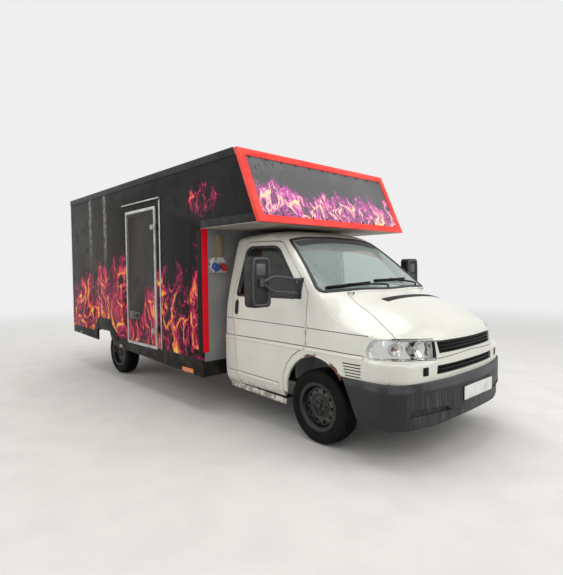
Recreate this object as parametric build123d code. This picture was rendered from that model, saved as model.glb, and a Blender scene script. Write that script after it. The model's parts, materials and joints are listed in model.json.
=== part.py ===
from build123d import *
import math
import os

os.makedirs("parts", exist_ok=True)

# Food truck: a box body with an over-cab nose on a long-nose van chassis cab.
# Millimetres. +X forward, +Y left, +Z up, ground at Z 0.
# Every X below is counted from the front axle; save() moves the whole truck so that the
# origin lies on the ground under the middle of its length.

# Driving dimensions
nose_overhang = 985
wheelbase = 3950
tail_overhang = 5255
rear_lamp_depth = 28
front_axle_x = (tail_overhang + rear_lamp_depth - nose_overhang) / 2

# Wheels
tyre_radius = 325
tyre_width = 195
tread_crown = 6
rim_radius = 191
rim_width = 168
rim_flange = 213
front_tyre_face = 889
rear_tyre_face = 950
stub_radius = 24
stub_clearance = 0.3
wheel_hole_count = 10
wheel_hole_radius = 15
wheel_hole_circle = 138

# Cab
skin = 36
hood_skin = 24
lamp_depth = 60
nose_start_x = 700
nose_panel_rear_x = 560
seam_gap = 0.3
wing_seam = 3
slat_inset = 6
slat_depth = 20
glass_inset = 10
glass_thickness = 6
shut_gap = 8
pull_proud = 8
pull_half_width = 26
pull_half_height = 75
gill_count = 5
gill_rear_x = 313
gill_front_x = 495
gill_low_z = 664
gill_step = 23.5
gill_height = 9
gill_lean = 7
vent_depth = 12
hood_slot_x = (322, 358)
hood_slot_y = (-400, 540)
arch_radius = 350
arch_centre_z = 420
well_inner_y = 490
well_length = 400
well_top_z = 730
cab_floor_z = 470
floor_plate = 30
under_floor_y = 790
bumper_top_z = 650
bumper_bottom_z = 300
bumper_thickness = 60
valance_top_z = 398
valance_depth = 16
pocket_top_z = 455
pocket_depth = 36
kingpin_y = 640
hinge_pin = 3.7

# Box
box_front_x = -1386
box_rear_x = -tail_overhang
box_half_width = 1141
box_top_z = 2663
wall = 30
rail_proud = 6
rail_depth = 75
foot_rail_height = 80
foot_rail_proud = 4
nose_floor_z = 1948
nose_top_x = -751
nose_bottom_x = -434
sign_depth = 45
sign_frame_width = 75
floor_bottom_z = 680
floor_thickness = 60
wall_bottom_front_z = 575
wall_bottom_rear_z = 640
skirt_bottom_front_z = 388
skirt_bottom_rear_z = 527
skirt_thickness = 20

# Entrance door, right side, hinged at its front edge
entry_rear_x = -3154
entry_front_x = -2345
entry_bottom_z = 571
entry_top_z = 2281
entry_frame = 35
entry_proud = 15
entry_gap = 6
entry_thickness = 40

# Serving hatch, left side, hinged at its top edge
hatch_rear_x = -4300
hatch_front_x = -2300
hatch_bottom_z = 1180
hatch_top_z = 2080
hatch_gap = 6
hatch_lip = 45

rear_axle_x = -wheelbase


def save(name, shape):
    """Write one piece, moved from front-axle X to the truck's own origin."""
    placed = Location((front_axle_x, 0, 0)) * shape
    export_step(placed, f"parts/{name}.step")


def block(x_low, x_high, y_low, y_high, z_low, z_high):
    size = (x_high - x_low, y_high - y_low, z_high - z_low)
    middle = ((x_low + x_high) / 2, (y_low + y_high) / 2, (z_low + z_high) / 2)
    return Location(middle) * Box(*size)


def side_prism(points, y_low, y_high):
    """Outline of (x, z) points carried along Y."""
    face = make_face(Polyline([(x, y_low, z) for x, z in points], close=True))
    return extrude(face, amount=y_high - y_low, dir=(0, 1, 0))


def plan_prism(points, z_low, z_high):
    """Outline of (x, y) points carried along Z."""
    face = make_face(Polyline([(x, y, z_low) for x, y in points], close=True))
    return extrude(face, amount=z_high - z_low, dir=(0, 0, 1))


def front_prism(points, x_low, x_high):
    """Outline of (y, z) points carried along X."""
    face = make_face(Polyline([(x_low, y, z) for y, z in points], close=True))
    return extrude(face, amount=x_high - x_low, dir=(1, 0, 0))


def rod(start, end, radius):
    """Round bar between two points."""
    start, end = Vector(*start), Vector(*end)
    plane = Plane(origin=start, z_dir=end - start)
    return extrude(plane * Circle(radius), amount=(end - start).length)


def mirrored(shape):
    return mirror(shape, about=Plane.XZ)


def both_sides(shape):
    return [shape, mirrored(shape)]


# Cab outer form: ruled loft through cross sections.
# Columns: x, then (y, z) of sill, lower side, ledge, lamp foot, belt, shoulder, rail, brow, crown,
# and the height on the centre line.
cab_sections = [
    (-1270, (860, 330), (915, 430), (920, 815), (912, 840), (905, 1020), (880, 1240),
     (745, 1785), (690, 1862), (450, 1915), 1930),
    (-950, (860, 328), (915, 430), (920, 815), (912, 840), (905, 1020), (880, 1242),
     (748, 1792), (694, 1870), (450, 1916), 1929),
    (-620, (860, 322), (915, 430), (920, 815), (912, 840), (905, 1018), (880, 1245),
     (745, 1795), (692, 1855), (430, 1884), 1892),
    (0, (860, 310), (916, 430), (921, 815), (914, 840), (908, 1010), (892, 1215),
     (866, 1310), (720, 1364), (400, 1418), 1440),
    (200, (860, 300), (916, 430), (922, 812), (913, 835), (905, 1000), (868, 1085),
     (780, 1170), (622, 1242), (400, 1287), 1300),
    (420, (860, 300), (916, 430), (922, 806), (912, 830), (902, 990), (876, 1028),
     (795, 1086), (672, 1148), (420, 1230), 1253),
    (620, (850, 300), (912, 430), (915, 795), (880, 822), (858, 975), (838, 989),
     (792, 1004), (727, 1034), (460, 1152), 1186),
    (740, (830, 310), (880, 430), (888, 790), (762, 818), (735, 968), (715, 980),
     (694, 990), (650, 1018), (420, 1102), 1130),
    (840, (730, 320), (770, 430), (785, 785), (600, 812), (560, 955), (540, 968),
     (518, 980), (480, 1000), (340, 1046), 1066),
    (900, (480, 330), (505, 430), (515, 780), (480, 806), (440, 942), (420, 956),
     (390, 970), (350, 982), (250, 1000), 1006),
    (932, (210, 340), (230, 430), (240, 778), (225, 803), (200, 905), (185, 922),
     (160, 933), (130, 940), (70, 946), 948),
]


def cab_form(inset, low_x=-2000, high_x=2000):
    """The cab's outer form drawn in by inset, closed at its ends, from low_x to high_x."""
    faces = []
    rear_x = cab_sections[0][0]
    front_x = cab_sections[-1][0]
    for x, *half, centre_z in cab_sections:
        if not low_x <= x <= high_x:
            continue
        if x == rear_x:
            x += inset
        x -= inset * max(0, (x - nose_start_x) / (front_x - nose_start_x))
        right = []
        for column, (y, z) in enumerate(half):
            if column == 0:
                z -= inset
            if column >= 5:
                z -= inset
            right.append((-(y - inset), z))
        left = [(-y, z) for y, z in reversed(right)]
        points = right + [(0, centre_z - inset)] + left
        faces.append(make_face(Polyline([(x, y, z) for y, z in points], close=True)))
    return loft(faces, ruled=True)


# Wheel wells and arches of the steered wheels
arch_points = [(-345, 200), (-345, arch_centre_z)]
for step in range(1, 12):
    angle = math.radians(180 - 15 * step)
    arch_points.append((arch_radius * math.cos(angle), arch_centre_z + arch_radius * math.sin(angle)))
arch_points += [(arch_radius, arch_centre_z), (470, 200)]
arch_cut = side_prism(arch_points, -1000, -well_inner_y)
well_cut = block(-well_length, well_length, -900, -well_inner_y, 100, well_top_z)
well_keep = block(-well_length - skin, well_length + skin, -860, -well_inner_y + skin, 100, well_top_z + skin)

# Door outline, (x, z), right door seen from outside
door_outline = [
    (-112, 830), (-110, 1300), (-178, 1392), (-560, 1768), (-620, 1792), (-1095, 1800),
    (-1185, 1245), (-1160, 1010), (-1113, 843), (-1072, 350), (-405, 345), (-395, 560),
    (-345, 660), (-270, 745), (-190, 800),
]
window_outline = [(-250, 1262), (-275, 1380), (-590, 1712), (-660, 1742), (-1035, 1748),
                  (-1085, 1715), (-1128, 1280), (-1110, 1255)]
hood_outline = [(118, -600), (165, -400), (195, -150), (200, 0), (195, 150), (165, 400), (118, 600),
                (420, 672), (620, 727), (690, 752), (990, 752), (990, -752), (690, -752),
                (620, -727), (420, -672)]
hood_line = [(0, 1000), (600, 983), (960, 945), (960, 1600), (0, 1600)]
windscreen_outline = [(-845, 1320), (-640, 1327), (-400, 1335), (0, 1327), (400, 1335), (640, 1327), (845, 1320),
                      (676, 1760), (650, 1806), (430, 1838), (0, 1850), (-430, 1838),
                      (-650, 1806), (-676, 1760)]
lamp_outline = [(-1000, 818), (-480, 808), (-486, 962), (-1000, 984)]
lamp_side_outline = [(1000, 780), (1000, 1010), (640, 1010), (580, 978), (538, 935), (520, 888),
                     (530, 848), (560, 815), (600, 780)]


def grown(points, amount):
    """An outline moved outwards, or inwards where amount is negative."""
    wire = Wire.make_polygon([Vector(a, b, 0) for a, b in points], close=True)
    offset = wire.offset_2d(amount, kind=Kind.INTERSECTION)
    return [(v.X, v.Y) for v in (e.position_at(0) for e in offset.order_edges())]


side_x = (-2000, 200)
door_reach = (-1000, -715)
door_prism = side_prism(door_outline, *door_reach)
door_hole = side_prism(grown(door_outline, shut_gap), *door_reach)
window_prism = side_prism(window_outline, *door_reach)
door = (cab_form(0, *side_x) & door_prism) - cab_form(skin, *side_x) - window_prism
pull_middle = (-1105, 1135)
pull_outline = []
for step in range(16):
    angle = 2 * math.pi * step / 16
    pull_outline.append((pull_middle[0] + pull_half_width * math.cos(angle),
                         pull_middle[1] + pull_half_height * math.sin(angle)))
door_pull = (cab_form(-pull_proud, *side_x) & side_prism(pull_outline, *door_reach)) - cab_form(skin / 2, *side_x)
door = door + door_pull
door_glass = (cab_form(glass_inset, *side_x) & window_prism) - cab_form(glass_inset + glass_thickness, *side_x)

hood_x = (0, 2000)
hood_prism = plan_prism(hood_outline, 900, 1500) & side_prism(hood_line, -1000, 1000)
hood_hole = (plan_prism(grown(hood_outline, shut_gap), 850, 1500)
             & side_prism(grown(hood_line, shut_gap), -1000, 1000))
hood = (cab_form(0, *hood_x) & hood_prism) - cab_form(hood_skin, *hood_x)
wing_x = (200, 700)
vent_floor = cab_form(vent_depth, *wing_x)
hood_slot = plan_prism([(x, y) for x, y in ((hood_slot_x[0], hood_slot_y[0]), (hood_slot_x[1], hood_slot_y[0]),
                                            (hood_slot_x[1], hood_slot_y[1]), (hood_slot_x[0], hood_slot_y[1]))],
                       1100, 1400)
hood = hood - (hood_slot - vent_floor)

screen_x = (-700, 420)
windscreen_prism = front_prism(windscreen_outline, -760, 400)
windscreen = (cab_form(4, *screen_x) & windscreen_prism) - cab_form(4 + glass_thickness, *screen_x)

nose_x = (420, 2000)
nose_form = cab_form(0, *nose_x)
right_lamp_prism = front_prism(lamp_outline, 0, 1000) & side_prism(lamp_side_outline, -1000, 0)
left_lamp_prism = mirrored(right_lamp_prism)
right_headlight = (nose_form & right_lamp_prism) - cab_form(lamp_depth, *nose_x) - hood_hole
headlights = Compound(both_sides(right_headlight))

# Nose panel: all of the nose under the hood line, between and under the headlamps
grille_outline = [(-452, 852), (452, 852), (472, 944), (-472, 944)]
lower_grille_outline = [(-490, 692), (490, 692), (484, 762), (-484, 762)]
grille_cut = front_prism(grille_outline, 600, 1000)
lower_grille_cut = front_prism(lower_grille_outline, 600, 1000)
nose_panel = nose_form & block(nose_panel_rear_x, 1000, -1000, 1000, bumper_top_z + seam_gap, 1100)
nose_panel = nose_panel - cab_form(skin, *nose_x) - hood_hole - right_lamp_prism - left_lamp_prism
nose_panel = nose_panel - grille_cut - lower_grille_cut

# Grille: slats across each opening, joined by a set-back plate
slat_form = cab_form(slat_inset, *nose_x) - cab_form(slat_inset + slat_depth, *nose_x)
back_form = cab_form(slat_inset + slat_depth, *nose_x) - cab_form(slat_inset + slat_depth + 6, *nose_x)


def slatted(opening, bottom, top, count, slat_height):
    """Bars across an opening, standing on a plate behind them."""
    step = (top - bottom - slat_height) / (count - 1)
    bands = [block(600, 1000, -600, 600, bottom + n * step, bottom + n * step + slat_height)
             for n in range(count)]
    bars = (slat_form & opening) & Compound(bands)
    return (back_form & opening) + bars


upper_grille = slatted(grille_cut, 852, 944, 4, 11)
lower_grille = slatted(lower_grille_cut, 692, 762, 3, 12)
grilles = Compound([upper_grille, lower_grille])

# Cab shell: skin, floor, wheel houses, firewall and rear wall
cab_outer = cab_form(0)
cab_inner = cab_form(skin)
cavity = cab_inner & block(-1300, 1000, -1000, 1000, cab_floor_z, 2000)
cavity = cavity - well_keep - mirrored(well_keep)
firewall = block(-60, -24, -800, 800, cab_floor_z - 20, 1180)
cavity = cavity - firewall
engine_bay = block(-24, 900, -450, 450, 100, cab_floor_z + 10)
under_floor = block(-1400, 900, -under_floor_y, under_floor_y, 100, cab_floor_z - floor_plate)
nose_clear = block(nose_panel_rear_x - wing_seam, 1000, -1000, 1000, 200, 1100)
bumper_clear = block(290, 1000, -1000, 1000, 200, bumper_top_z + seam_gap)
gills = []
for number in range(gill_count):
    slot_z = gill_low_z + gill_step * number
    slot_rear_x = gill_rear_x + gill_lean * (gill_count - 1 - number)
    gills.append(block(slot_rear_x, gill_front_x, -1000, -800, slot_z, slot_z + gill_height) - vent_floor)
right_gills = Compound(gills)
cab_shell = cab_outer - cavity
for cut in (engine_bay, under_floor, nose_clear, bumper_clear, hood_hole, windscreen_prism,
            right_lamp_prism, left_lamp_prism, right_gills, mirrored(right_gills),
            door_hole, mirrored(door_hole), arch_cut, mirrored(arch_cut), well_cut, mirrored(well_cut)):
    cab_shell = cab_shell - cut

# Door hinges: a pin in the shut line at the skin, its upper half on the pillar, its lower half on the door
door_hinge_x = door_outline[0][0] + shut_gap / 2
door_hinge_y = -918
for hinge_z in (885, 985):
    lower_pin = rod((door_hinge_x, door_hinge_y, hinge_z - 35), (door_hinge_x, door_hinge_y, hinge_z), hinge_pin)
    upper_pin = rod((door_hinge_x, door_hinge_y, hinge_z + seam_gap),
                    (door_hinge_x, door_hinge_y, hinge_z + 35), hinge_pin)
    door_tab = block(door_hinge_x - 8, door_hinge_x, door_hinge_y - 1, door_hinge_y + 14, hinge_z - 35, hinge_z)
    pillar_tab = block(door_hinge_x, door_hinge_x + 8, door_hinge_y - 1, door_hinge_y + 14,
                       hinge_z + seam_gap, hinge_z + 35)
    door = door + lower_pin + door_tab
    pillar_hinge = upper_pin + pillar_tab
    cab_shell = cab_shell + pillar_hinge + mirrored(pillar_hinge)

# Hood hinges: pins across the rear corners of the shut line
hood_hinge_x = hood_outline[0][0] + 2
hood_hinge_z = 1316
for side in (-1, 1):
    inner_pin = rod((hood_hinge_x, side * 565, hood_hinge_z), (hood_hinge_x, side * 583, hood_hinge_z), hinge_pin)
    outer_pin = rod((hood_hinge_x, side * (583 + seam_gap), hood_hinge_z),
                    (hood_hinge_x, side * 601, hood_hinge_z), hinge_pin)
    y_low, y_high = sorted((side * 565, side * 583))
    hood_tab = block(hood_hinge_x, hood_hinge_x + 40, y_low, y_high, hood_hinge_z - 22, hood_hinge_z - 1)
    y_low, y_high = sorted((side * (583 + seam_gap), side * 601))
    cowl_tab = block(hood_hinge_x - 16, hood_hinge_x - 3, y_low, y_high, hood_hinge_z - 10, hood_hinge_z)
    hood = hood + inner_pin + hood_tab
    cab_shell = cab_shell + outer_pin + cowl_tab

# Bumper: one plastic moulding round the nose, open behind


def bumper_form(inset, z_low, z_high):
    """Plan outline of side lines, two corner arcs and one long front arc."""
    edge = 935 - inset
    front = nose_overhang - inset
    corner_x, corner_y = 845 - inset * 0.7, 800 - inset * 0.7
    outline = [
        Line((300, -edge), (620, -edge)),
        ThreePointArc((620, -edge), (772 - inset * 0.8, -893 + inset * 0.9), (corner_x, -corner_y)),
        ThreePointArc((corner_x, -corner_y), (front, 0), (corner_x, corner_y)),
        ThreePointArc((corner_x, corner_y), (772 - inset * 0.8, 893 - inset * 0.9), (620, edge)),
        Line((620, edge), (300, edge)),
        Line((300, edge), (300, -edge)),
    ]
    face = make_face(Curve() + outline)
    return Location((0, 0, z_low)) * extrude(face, amount=z_high - z_low, dir=(0, 0, 1))


bumper_profile = [(318, bumper_top_z), (1100, bumper_top_z), (1100, 395), (905, bumper_bottom_z),
                  (480, bumper_bottom_z)]
bumper = bumper_form(0, bumper_bottom_z, bumper_top_z) & side_prism(bumper_profile, -1000, 1000)
bumper = bumper - bumper_form(bumper_thickness, bumper_bottom_z - 50, bumper_top_z + 50)
bumper = bumper - block(200, 560, -860, 860, 200, 700)
valance_outline = [(-905, bumper_bottom_z - 10), (-835, valance_top_z), (835, valance_top_z),
                   (905, bumper_bottom_z - 10)]
valance_cut = front_prism(valance_outline, 560, 1100) - bumper_form(valance_depth, 200, 700)
pocket_outline = [(-800, valance_top_z), (-765, pocket_top_z), (-410, pocket_top_z - 12), (-350, valance_top_z)]
pocket_cut = front_prism(pocket_outline, 560, 1100) - bumper_form(pocket_depth, 200, 700)
for cut in (valance_cut, pocket_cut, mirrored(pocket_cut)):
    bumper = bumper - cut

# Box walls. The right wall carries the entrance, the left wall the serving opening.
run = box_top_z - nose_floor_z
slope_x = (nose_top_x - nose_bottom_x) / run
wall_front_top_x = nose_top_x - sign_depth * 1.09
wall_front_bottom_x = nose_bottom_x - sign_depth * 1.09
side_outline = [(box_rear_x, wall_bottom_rear_z), (box_front_x, wall_bottom_front_z),
                (box_front_x, nose_floor_z), (wall_front_bottom_x, nose_floor_z),
                (wall_front_top_x, box_top_z), (box_rear_x, box_top_z)]
side_wall = side_prism(side_outline, -box_half_width, -box_half_width + wall)
entry_cut = block(entry_rear_x, entry_front_x, -1300, -1000, entry_bottom_z, entry_top_z)
hatch_cut = block(hatch_rear_x, hatch_front_x, 1000, 1300, hatch_bottom_z, hatch_top_z)
arch_top_z = 660
arch_slot = [(rear_axle_x - 280, 300), (rear_axle_x - 272, arch_top_z), (rear_axle_x + 175, arch_top_z),
             (rear_axle_x + 400, 300)]
rear_arch = side_prism(arch_slot, -1300, 1300)
box_right_wall = side_wall - entry_cut - rear_arch
box_left_wall = mirrored(side_wall) - hatch_cut - rear_arch
inner_y = box_half_width - wall
front_skirt_z = 554
box_front_wall = block(box_front_x - wall, box_front_x, -inner_y, inner_y, front_skirt_z, nose_floor_z + wall)
box_rear_wall = block(box_rear_x, box_rear_x + wall, -inner_y, inner_y, wall_bottom_rear_z, box_top_z - wall)
box_floor = block(box_rear_x + wall, box_front_x - wall, -inner_y, inner_y,
                  floor_bottom_z, floor_bottom_z + floor_thickness)
nose_floor = side_prism([(box_front_x, nose_floor_z), (wall_front_bottom_x, nose_floor_z),
                         (wall_front_bottom_x + slope_x * wall, nose_floor_z + wall),
                         (box_front_x, nose_floor_z + wall)], -inner_y, inner_y)
roof_outline = [(box_rear_x, box_top_z - wall), (wall_front_top_x - slope_x * wall, box_top_z - wall),
                (wall_front_top_x, box_top_z), (box_rear_x, box_top_z)]
box_roof = side_prism(roof_outline, -inner_y, inner_y)
rail_outline = [(box_rear_x, box_top_z - rail_depth), (wall_front_top_x - slope_x * rail_depth, box_top_z - rail_depth),
                (wall_front_top_x - slope_x * -rail_proud, box_top_z + rail_proud),
                (box_rear_x, box_top_z + rail_proud)]
edge_rail = side_prism(rail_outline, -box_half_width - rail_proud, -box_half_width + 40)
edge_rail = edge_rail - block(-6000, 0, -box_half_width, 0, 2000, box_top_z)
box_roof = box_roof + edge_rail + mirrored(edge_rail)

# Foot rails along the nose's lower edges
foot_rail_outline = [(box_front_x + 12, nose_floor_z), (wall_front_bottom_x, nose_floor_z),
                     (wall_front_bottom_x + slope_x * foot_rail_height, nose_floor_z + foot_rail_height),
                     (box_front_x + 12, nose_floor_z + foot_rail_height)]
foot_rail = side_prism(foot_rail_outline, -box_half_width - foot_rail_proud, -box_half_width)
box_right_wall = box_right_wall + foot_rail
box_left_wall = box_left_wall + mirrored(foot_rail)

# Sign: red frame round a set-back panel, on the slanted face over the cab
slab_outline = [(nose_bottom_x, nose_floor_z), (nose_top_x, box_top_z), (wall_front_top_x, box_top_z),
                (wall_front_bottom_x, nose_floor_z)]
slab = side_prism(slab_outline, -box_half_width, box_half_width)
slope_length = math.hypot(nose_top_x - nose_bottom_x, run)
along = ((nose_top_x - nose_bottom_x) / slope_length, run / slope_length)
outward = (along[1], -along[0])


def on_slope(distance, depth):
    """Point (x, z) at a distance up the sign's slope and a depth behind its face."""
    return (nose_bottom_x + along[0] * distance - outward[0] * depth,
            nose_floor_z + along[1] * distance - outward[1] * depth)


window_low, window_high = sign_frame_width, slope_length - sign_frame_width
window_y = box_half_width - sign_frame_width
sign_window = side_prism([on_slope(window_low, -60), on_slope(window_high, -60),
                          on_slope(window_high, 90), on_slope(window_low, 90)], -window_y, window_y)
sign_frame = slab - sign_window
sign_panel = side_prism([on_slope(window_low, 8), on_slope(window_high, 8),
                         on_slope(window_high, 28), on_slope(window_low, 28)], -window_y, window_y)
strip = block(box_front_x, box_front_x + 6, -box_half_width, -1060, 650, nose_floor_z)
red_trim = Compound([sign_frame] + both_sides(strip))

# Power inlets and their cable duct on the front wall, right side
inlet_edge_y = -box_half_width + 95
inlet_plate_width, inlet_plate_depth = 194, 40
inlet_plate_bottom_z, inlet_plate_top_z = 1490, 1650
inlet_duct_top_z = 1886
inlet_plate = block(box_front_x, box_front_x + inlet_plate_depth, inlet_edge_y, inlet_edge_y + inlet_plate_width,
                    inlet_plate_bottom_z, inlet_plate_top_z)
inlet_duct = block(box_front_x, box_front_x + 50, inlet_edge_y + 69, inlet_edge_y + 153,
                   inlet_plate_top_z, inlet_duct_top_z)
inlets = inlet_plate + inlet_duct
for inlet_y in (inlet_edge_y + 46, inlet_edge_y + 146):
    inlets = inlets + rod((box_front_x + 30, inlet_y, 1560), (box_front_x + 95, inlet_y, 1535), 36)

# Entrance: fixed aluminium frame, drip rail, door leaf, hinges and paddle latch
entry_outer_y = -box_half_width - entry_proud
frame_ring = block(entry_rear_x, entry_front_x, entry_outer_y, -inner_y, entry_bottom_z, entry_top_z)
frame_ring = frame_ring - block(entry_rear_x + entry_frame, entry_front_x - entry_frame, -1300, -1000,
                                entry_bottom_z + entry_frame, entry_top_z - entry_frame)
drip_z = 2360
drip_rail = side_prism([(-3236, drip_z), (-2228, drip_z), (-2228, drip_z + 14), (-3236, drip_z + 14)],
                       -box_half_width - 28, -box_half_width)
post = block(-2262, -2238, -box_half_width - 8, -box_half_width, 580, 2350)
hinge_x, hinge_y = entry_front_x - 15, entry_outer_y - 10
hinge_heights = (787, 2035)
hinge_radius = 9
hinge_half = 35
frame_knuckles = frame_ring
for hinge_z in hinge_heights:
    for low in (hinge_z - hinge_half, hinge_z + 12):
        knuckle = rod((hinge_x, hinge_y, low), (hinge_x, hinge_y, low + hinge_half - 12), hinge_radius)
        tab = block(hinge_x, hinge_x + 13, entry_outer_y - 5, entry_outer_y, low, low + hinge_half - 12)
        frame_knuckles = frame_knuckles + knuckle + tab
door_frame = Compound([frame_knuckles, drip_rail, post])
leaf_rear_x = entry_rear_x + entry_frame + entry_gap
leaf_front_x = entry_front_x - entry_frame - entry_gap
leaf_bottom_z = entry_bottom_z + entry_frame + entry_gap
leaf_top_z = entry_top_z - entry_frame - entry_gap
leaf = block(leaf_rear_x, leaf_front_x, entry_outer_y - 2, entry_outer_y - 2 + entry_thickness,
             leaf_bottom_z, leaf_top_z)
leaf_border = 32
leaf = leaf - block(leaf_rear_x + leaf_border, leaf_front_x - leaf_border, entry_outer_y - 20,
                    entry_outer_y + 2, leaf_bottom_z + leaf_border, leaf_top_z - leaf_border)
for hinge_z in hinge_heights:
    leaf = leaf + rod((hinge_x, hinge_y, hinge_z - 11.7), (hinge_x, hinge_y, hinge_z + 11.7), hinge_radius)
    leaf = leaf + block(leaf_front_x - 20, hinge_x, entry_outer_y - 6, entry_outer_y - 2,
                        hinge_z - 11, hinge_z + 11)
latch = block(-3045, -2762, entry_outer_y - 14, entry_outer_y + 2, 904, 995)
latch = latch + block(-2960, -2800, entry_outer_y - 34, entry_outer_y - 14, 925, 974)
entrance_door = leaf + latch

# Serving hatch: flap over the opening, hinged along its top
flap_y = box_half_width + 2
hatch_axis_y, hatch_axis_z = box_half_width + 5, hatch_top_z - hatch_gap / 2
hatch_pin = 2.7
serving_hatch = block(hatch_rear_x + hatch_gap, hatch_front_x - hatch_gap, box_half_width - wall, flap_y,
                      hatch_bottom_z + hatch_gap, hatch_top_z - hatch_gap)
for hinge_at in (-4100, -3300, -2500):
    flap_pin = rod((hinge_at - 60, hatch_axis_y, hatch_axis_z), (hinge_at, hatch_axis_y, hatch_axis_z), hatch_pin)
    wall_pin = rod((hinge_at + seam_gap, hatch_axis_y, hatch_axis_z),
                   (hinge_at + 60, hatch_axis_y, hatch_axis_z), hatch_pin)
    flap_tab = block(hinge_at - 60, hinge_at, box_half_width - 2, hatch_axis_y, hatch_axis_z - 5, hatch_axis_z)
    wall_tab = block(hinge_at + seam_gap, hinge_at + 60, box_half_width - 2, hatch_axis_y,
                     hatch_axis_z, hatch_axis_z + 5)
    serving_hatch = serving_hatch + flap_pin + flap_tab
    box_left_wall = box_left_wall + wall_pin + wall_tab

# Skirts: black panels under the walls, with wheel-arch trims, and a front and a rear skirt
skirt_y = box_half_width - 3
skirt_outline = [(box_rear_x, skirt_bottom_rear_z), (box_front_x, skirt_bottom_front_z),
                 (box_front_x, wall_bottom_front_z), (box_rear_x, wall_bottom_rear_z)]
side_skirt = side_prism(skirt_outline, -skirt_y, -skirt_y + skirt_thickness) - rear_arch
front_skirt = block(box_front_x - skirt_thickness, box_front_x, -skirt_y + skirt_thickness,
                    skirt_y - skirt_thickness, skirt_bottom_front_z + 4, front_skirt_z)
rear_skirt = block(box_rear_x, box_rear_x + skirt_thickness, -skirt_y + skirt_thickness,
                   skirt_y - skirt_thickness, skirt_bottom_rear_z, wall_bottom_rear_z - 1)
entry_step_cut = block(entry_rear_x, entry_front_x, -1300, -1000, entry_bottom_z, 700)
trim_outer = [(rear_axle_x - 400, 640), (rear_axle_x - 262, 826), (rear_axle_x + 150, 832),
              (rear_axle_x + 460, 622)]
trim = side_prism([(rear_axle_x - 400, 560)] + trim_outer + [(rear_axle_x + 460, 540)],
                  -box_half_width - 5, -box_half_width) - rear_arch
skirts = side_skirt + mirrored(side_skirt) - entry_step_cut
skirts = skirts + front_skirt + rear_skirt

# Lamps: side markers under the walls and two rear clusters
markers = [(-1780, -1560, 408, 455), (-3430, -3345, 472, 512), (-4920, -4860, 530, 560)]
lamp_solids = []
for x_low, x_high, z_low, z_high in markers:
    lamp_solids += both_sides(block(x_low, x_high, -skirt_y - 16, -skirt_y, z_low, z_high))
lamp_solids += both_sides(block(box_rear_x - rear_lamp_depth, box_rear_x, -1090, -970, 700, 1000))
lamps = Compound(lamp_solids)

# Chassis: a straight ladder frame under the box, and a lower frame under the cab that carries it
rail_y, rail_width, rail_bottom_z = 380, 60, 560
member_bottom_z = 610
member_half_y = 1080
ladder_front_x = -1440
bracket_rear_x, bracket_front_x = -1560, box_front_x - wall - 4
cab_rail_height = 90
cab_rail_top_z = cab_floor_z - floor_plate
cab_rail_bottom_z = cab_rail_top_z - cab_rail_height
cab_rail_front_x = 840
ladder_rail = block(box_rear_x + 60, ladder_front_x, -rail_y - rail_width, -rail_y, rail_bottom_z, floor_bottom_z)
chassis_frame = ladder_rail + mirrored(ladder_rail)
for member_x in (-5150, -4450, -3360, -2700, -1900):
    chassis_frame = chassis_frame + block(member_x - 30, member_x + 30, -member_half_y, member_half_y,
                                          member_bottom_z, floor_bottom_z)
cab_rail = side_prism([(bracket_rear_x, rail_bottom_z), (bracket_rear_x, cab_rail_top_z),
                       (bracket_front_x - 60, cab_rail_bottom_z), (cab_rail_front_x, cab_rail_bottom_z),
                       (cab_rail_front_x, cab_rail_top_z), (bracket_front_x, cab_rail_top_z),
                       (bracket_front_x, rail_bottom_z)], -rail_y - rail_width, -rail_y)
bumper_beam = (bumper_form(bumper_thickness + seam_gap, cab_rail_bottom_z, cab_rail_top_z)
               - bumper_form(bumper_thickness + 60, cab_rail_bottom_z - 10, cab_rail_top_z + 10))
bumper_beam = bumper_beam & block(700, 1000, -560, 560, 200, 600)
cradle_depth = 50
cradle = block(-80, 60, -rail_y - rail_width, rail_y + rail_width, cab_rail_bottom_z - cradle_depth, cab_rail_bottom_z)
arm_top_z = 232
arm_thickness = 32
arm_half_x = 45
arm = block(-arm_half_x, arm_half_x, -kingpin_y - 30, -rail_y + 20, arm_top_z - arm_thickness, arm_top_z)
arm_drop = block(-arm_half_x, arm_half_x, -rail_y - 40, -rail_y + 20,
                 arm_top_z - arm_thickness, cab_rail_bottom_z - cradle_depth + 10)
cab_frame = cab_rail + mirrored(cab_rail) + bumper_beam + cradle
for side_piece in (arm, arm_drop):
    cab_frame = cab_frame + side_piece + mirrored(side_piece)

# Engine: one plain block across the front, with a mount on each rail
engine_block = block(80, 640, -360, 300, 345, 900)
for y_low, y_high in ((300, rail_y + 10), (-rail_y - 10, -360)):
    cab_frame = cab_frame + block(300, 360, y_low, y_high, cab_rail_top_z - 80, cab_rail_top_z - 20)

# The front skirt is notched for the rails and the exhaust
for notch_y in (-410, 410):
    skirts = skirts - block(-1500, -1300, notch_y - 40, notch_y + 40, 300, 520)
skirts = skirts - block(-1500, -1300, -270, -140, 300, 480)
skirts = Compound([skirts] + both_sides(trim))

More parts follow.
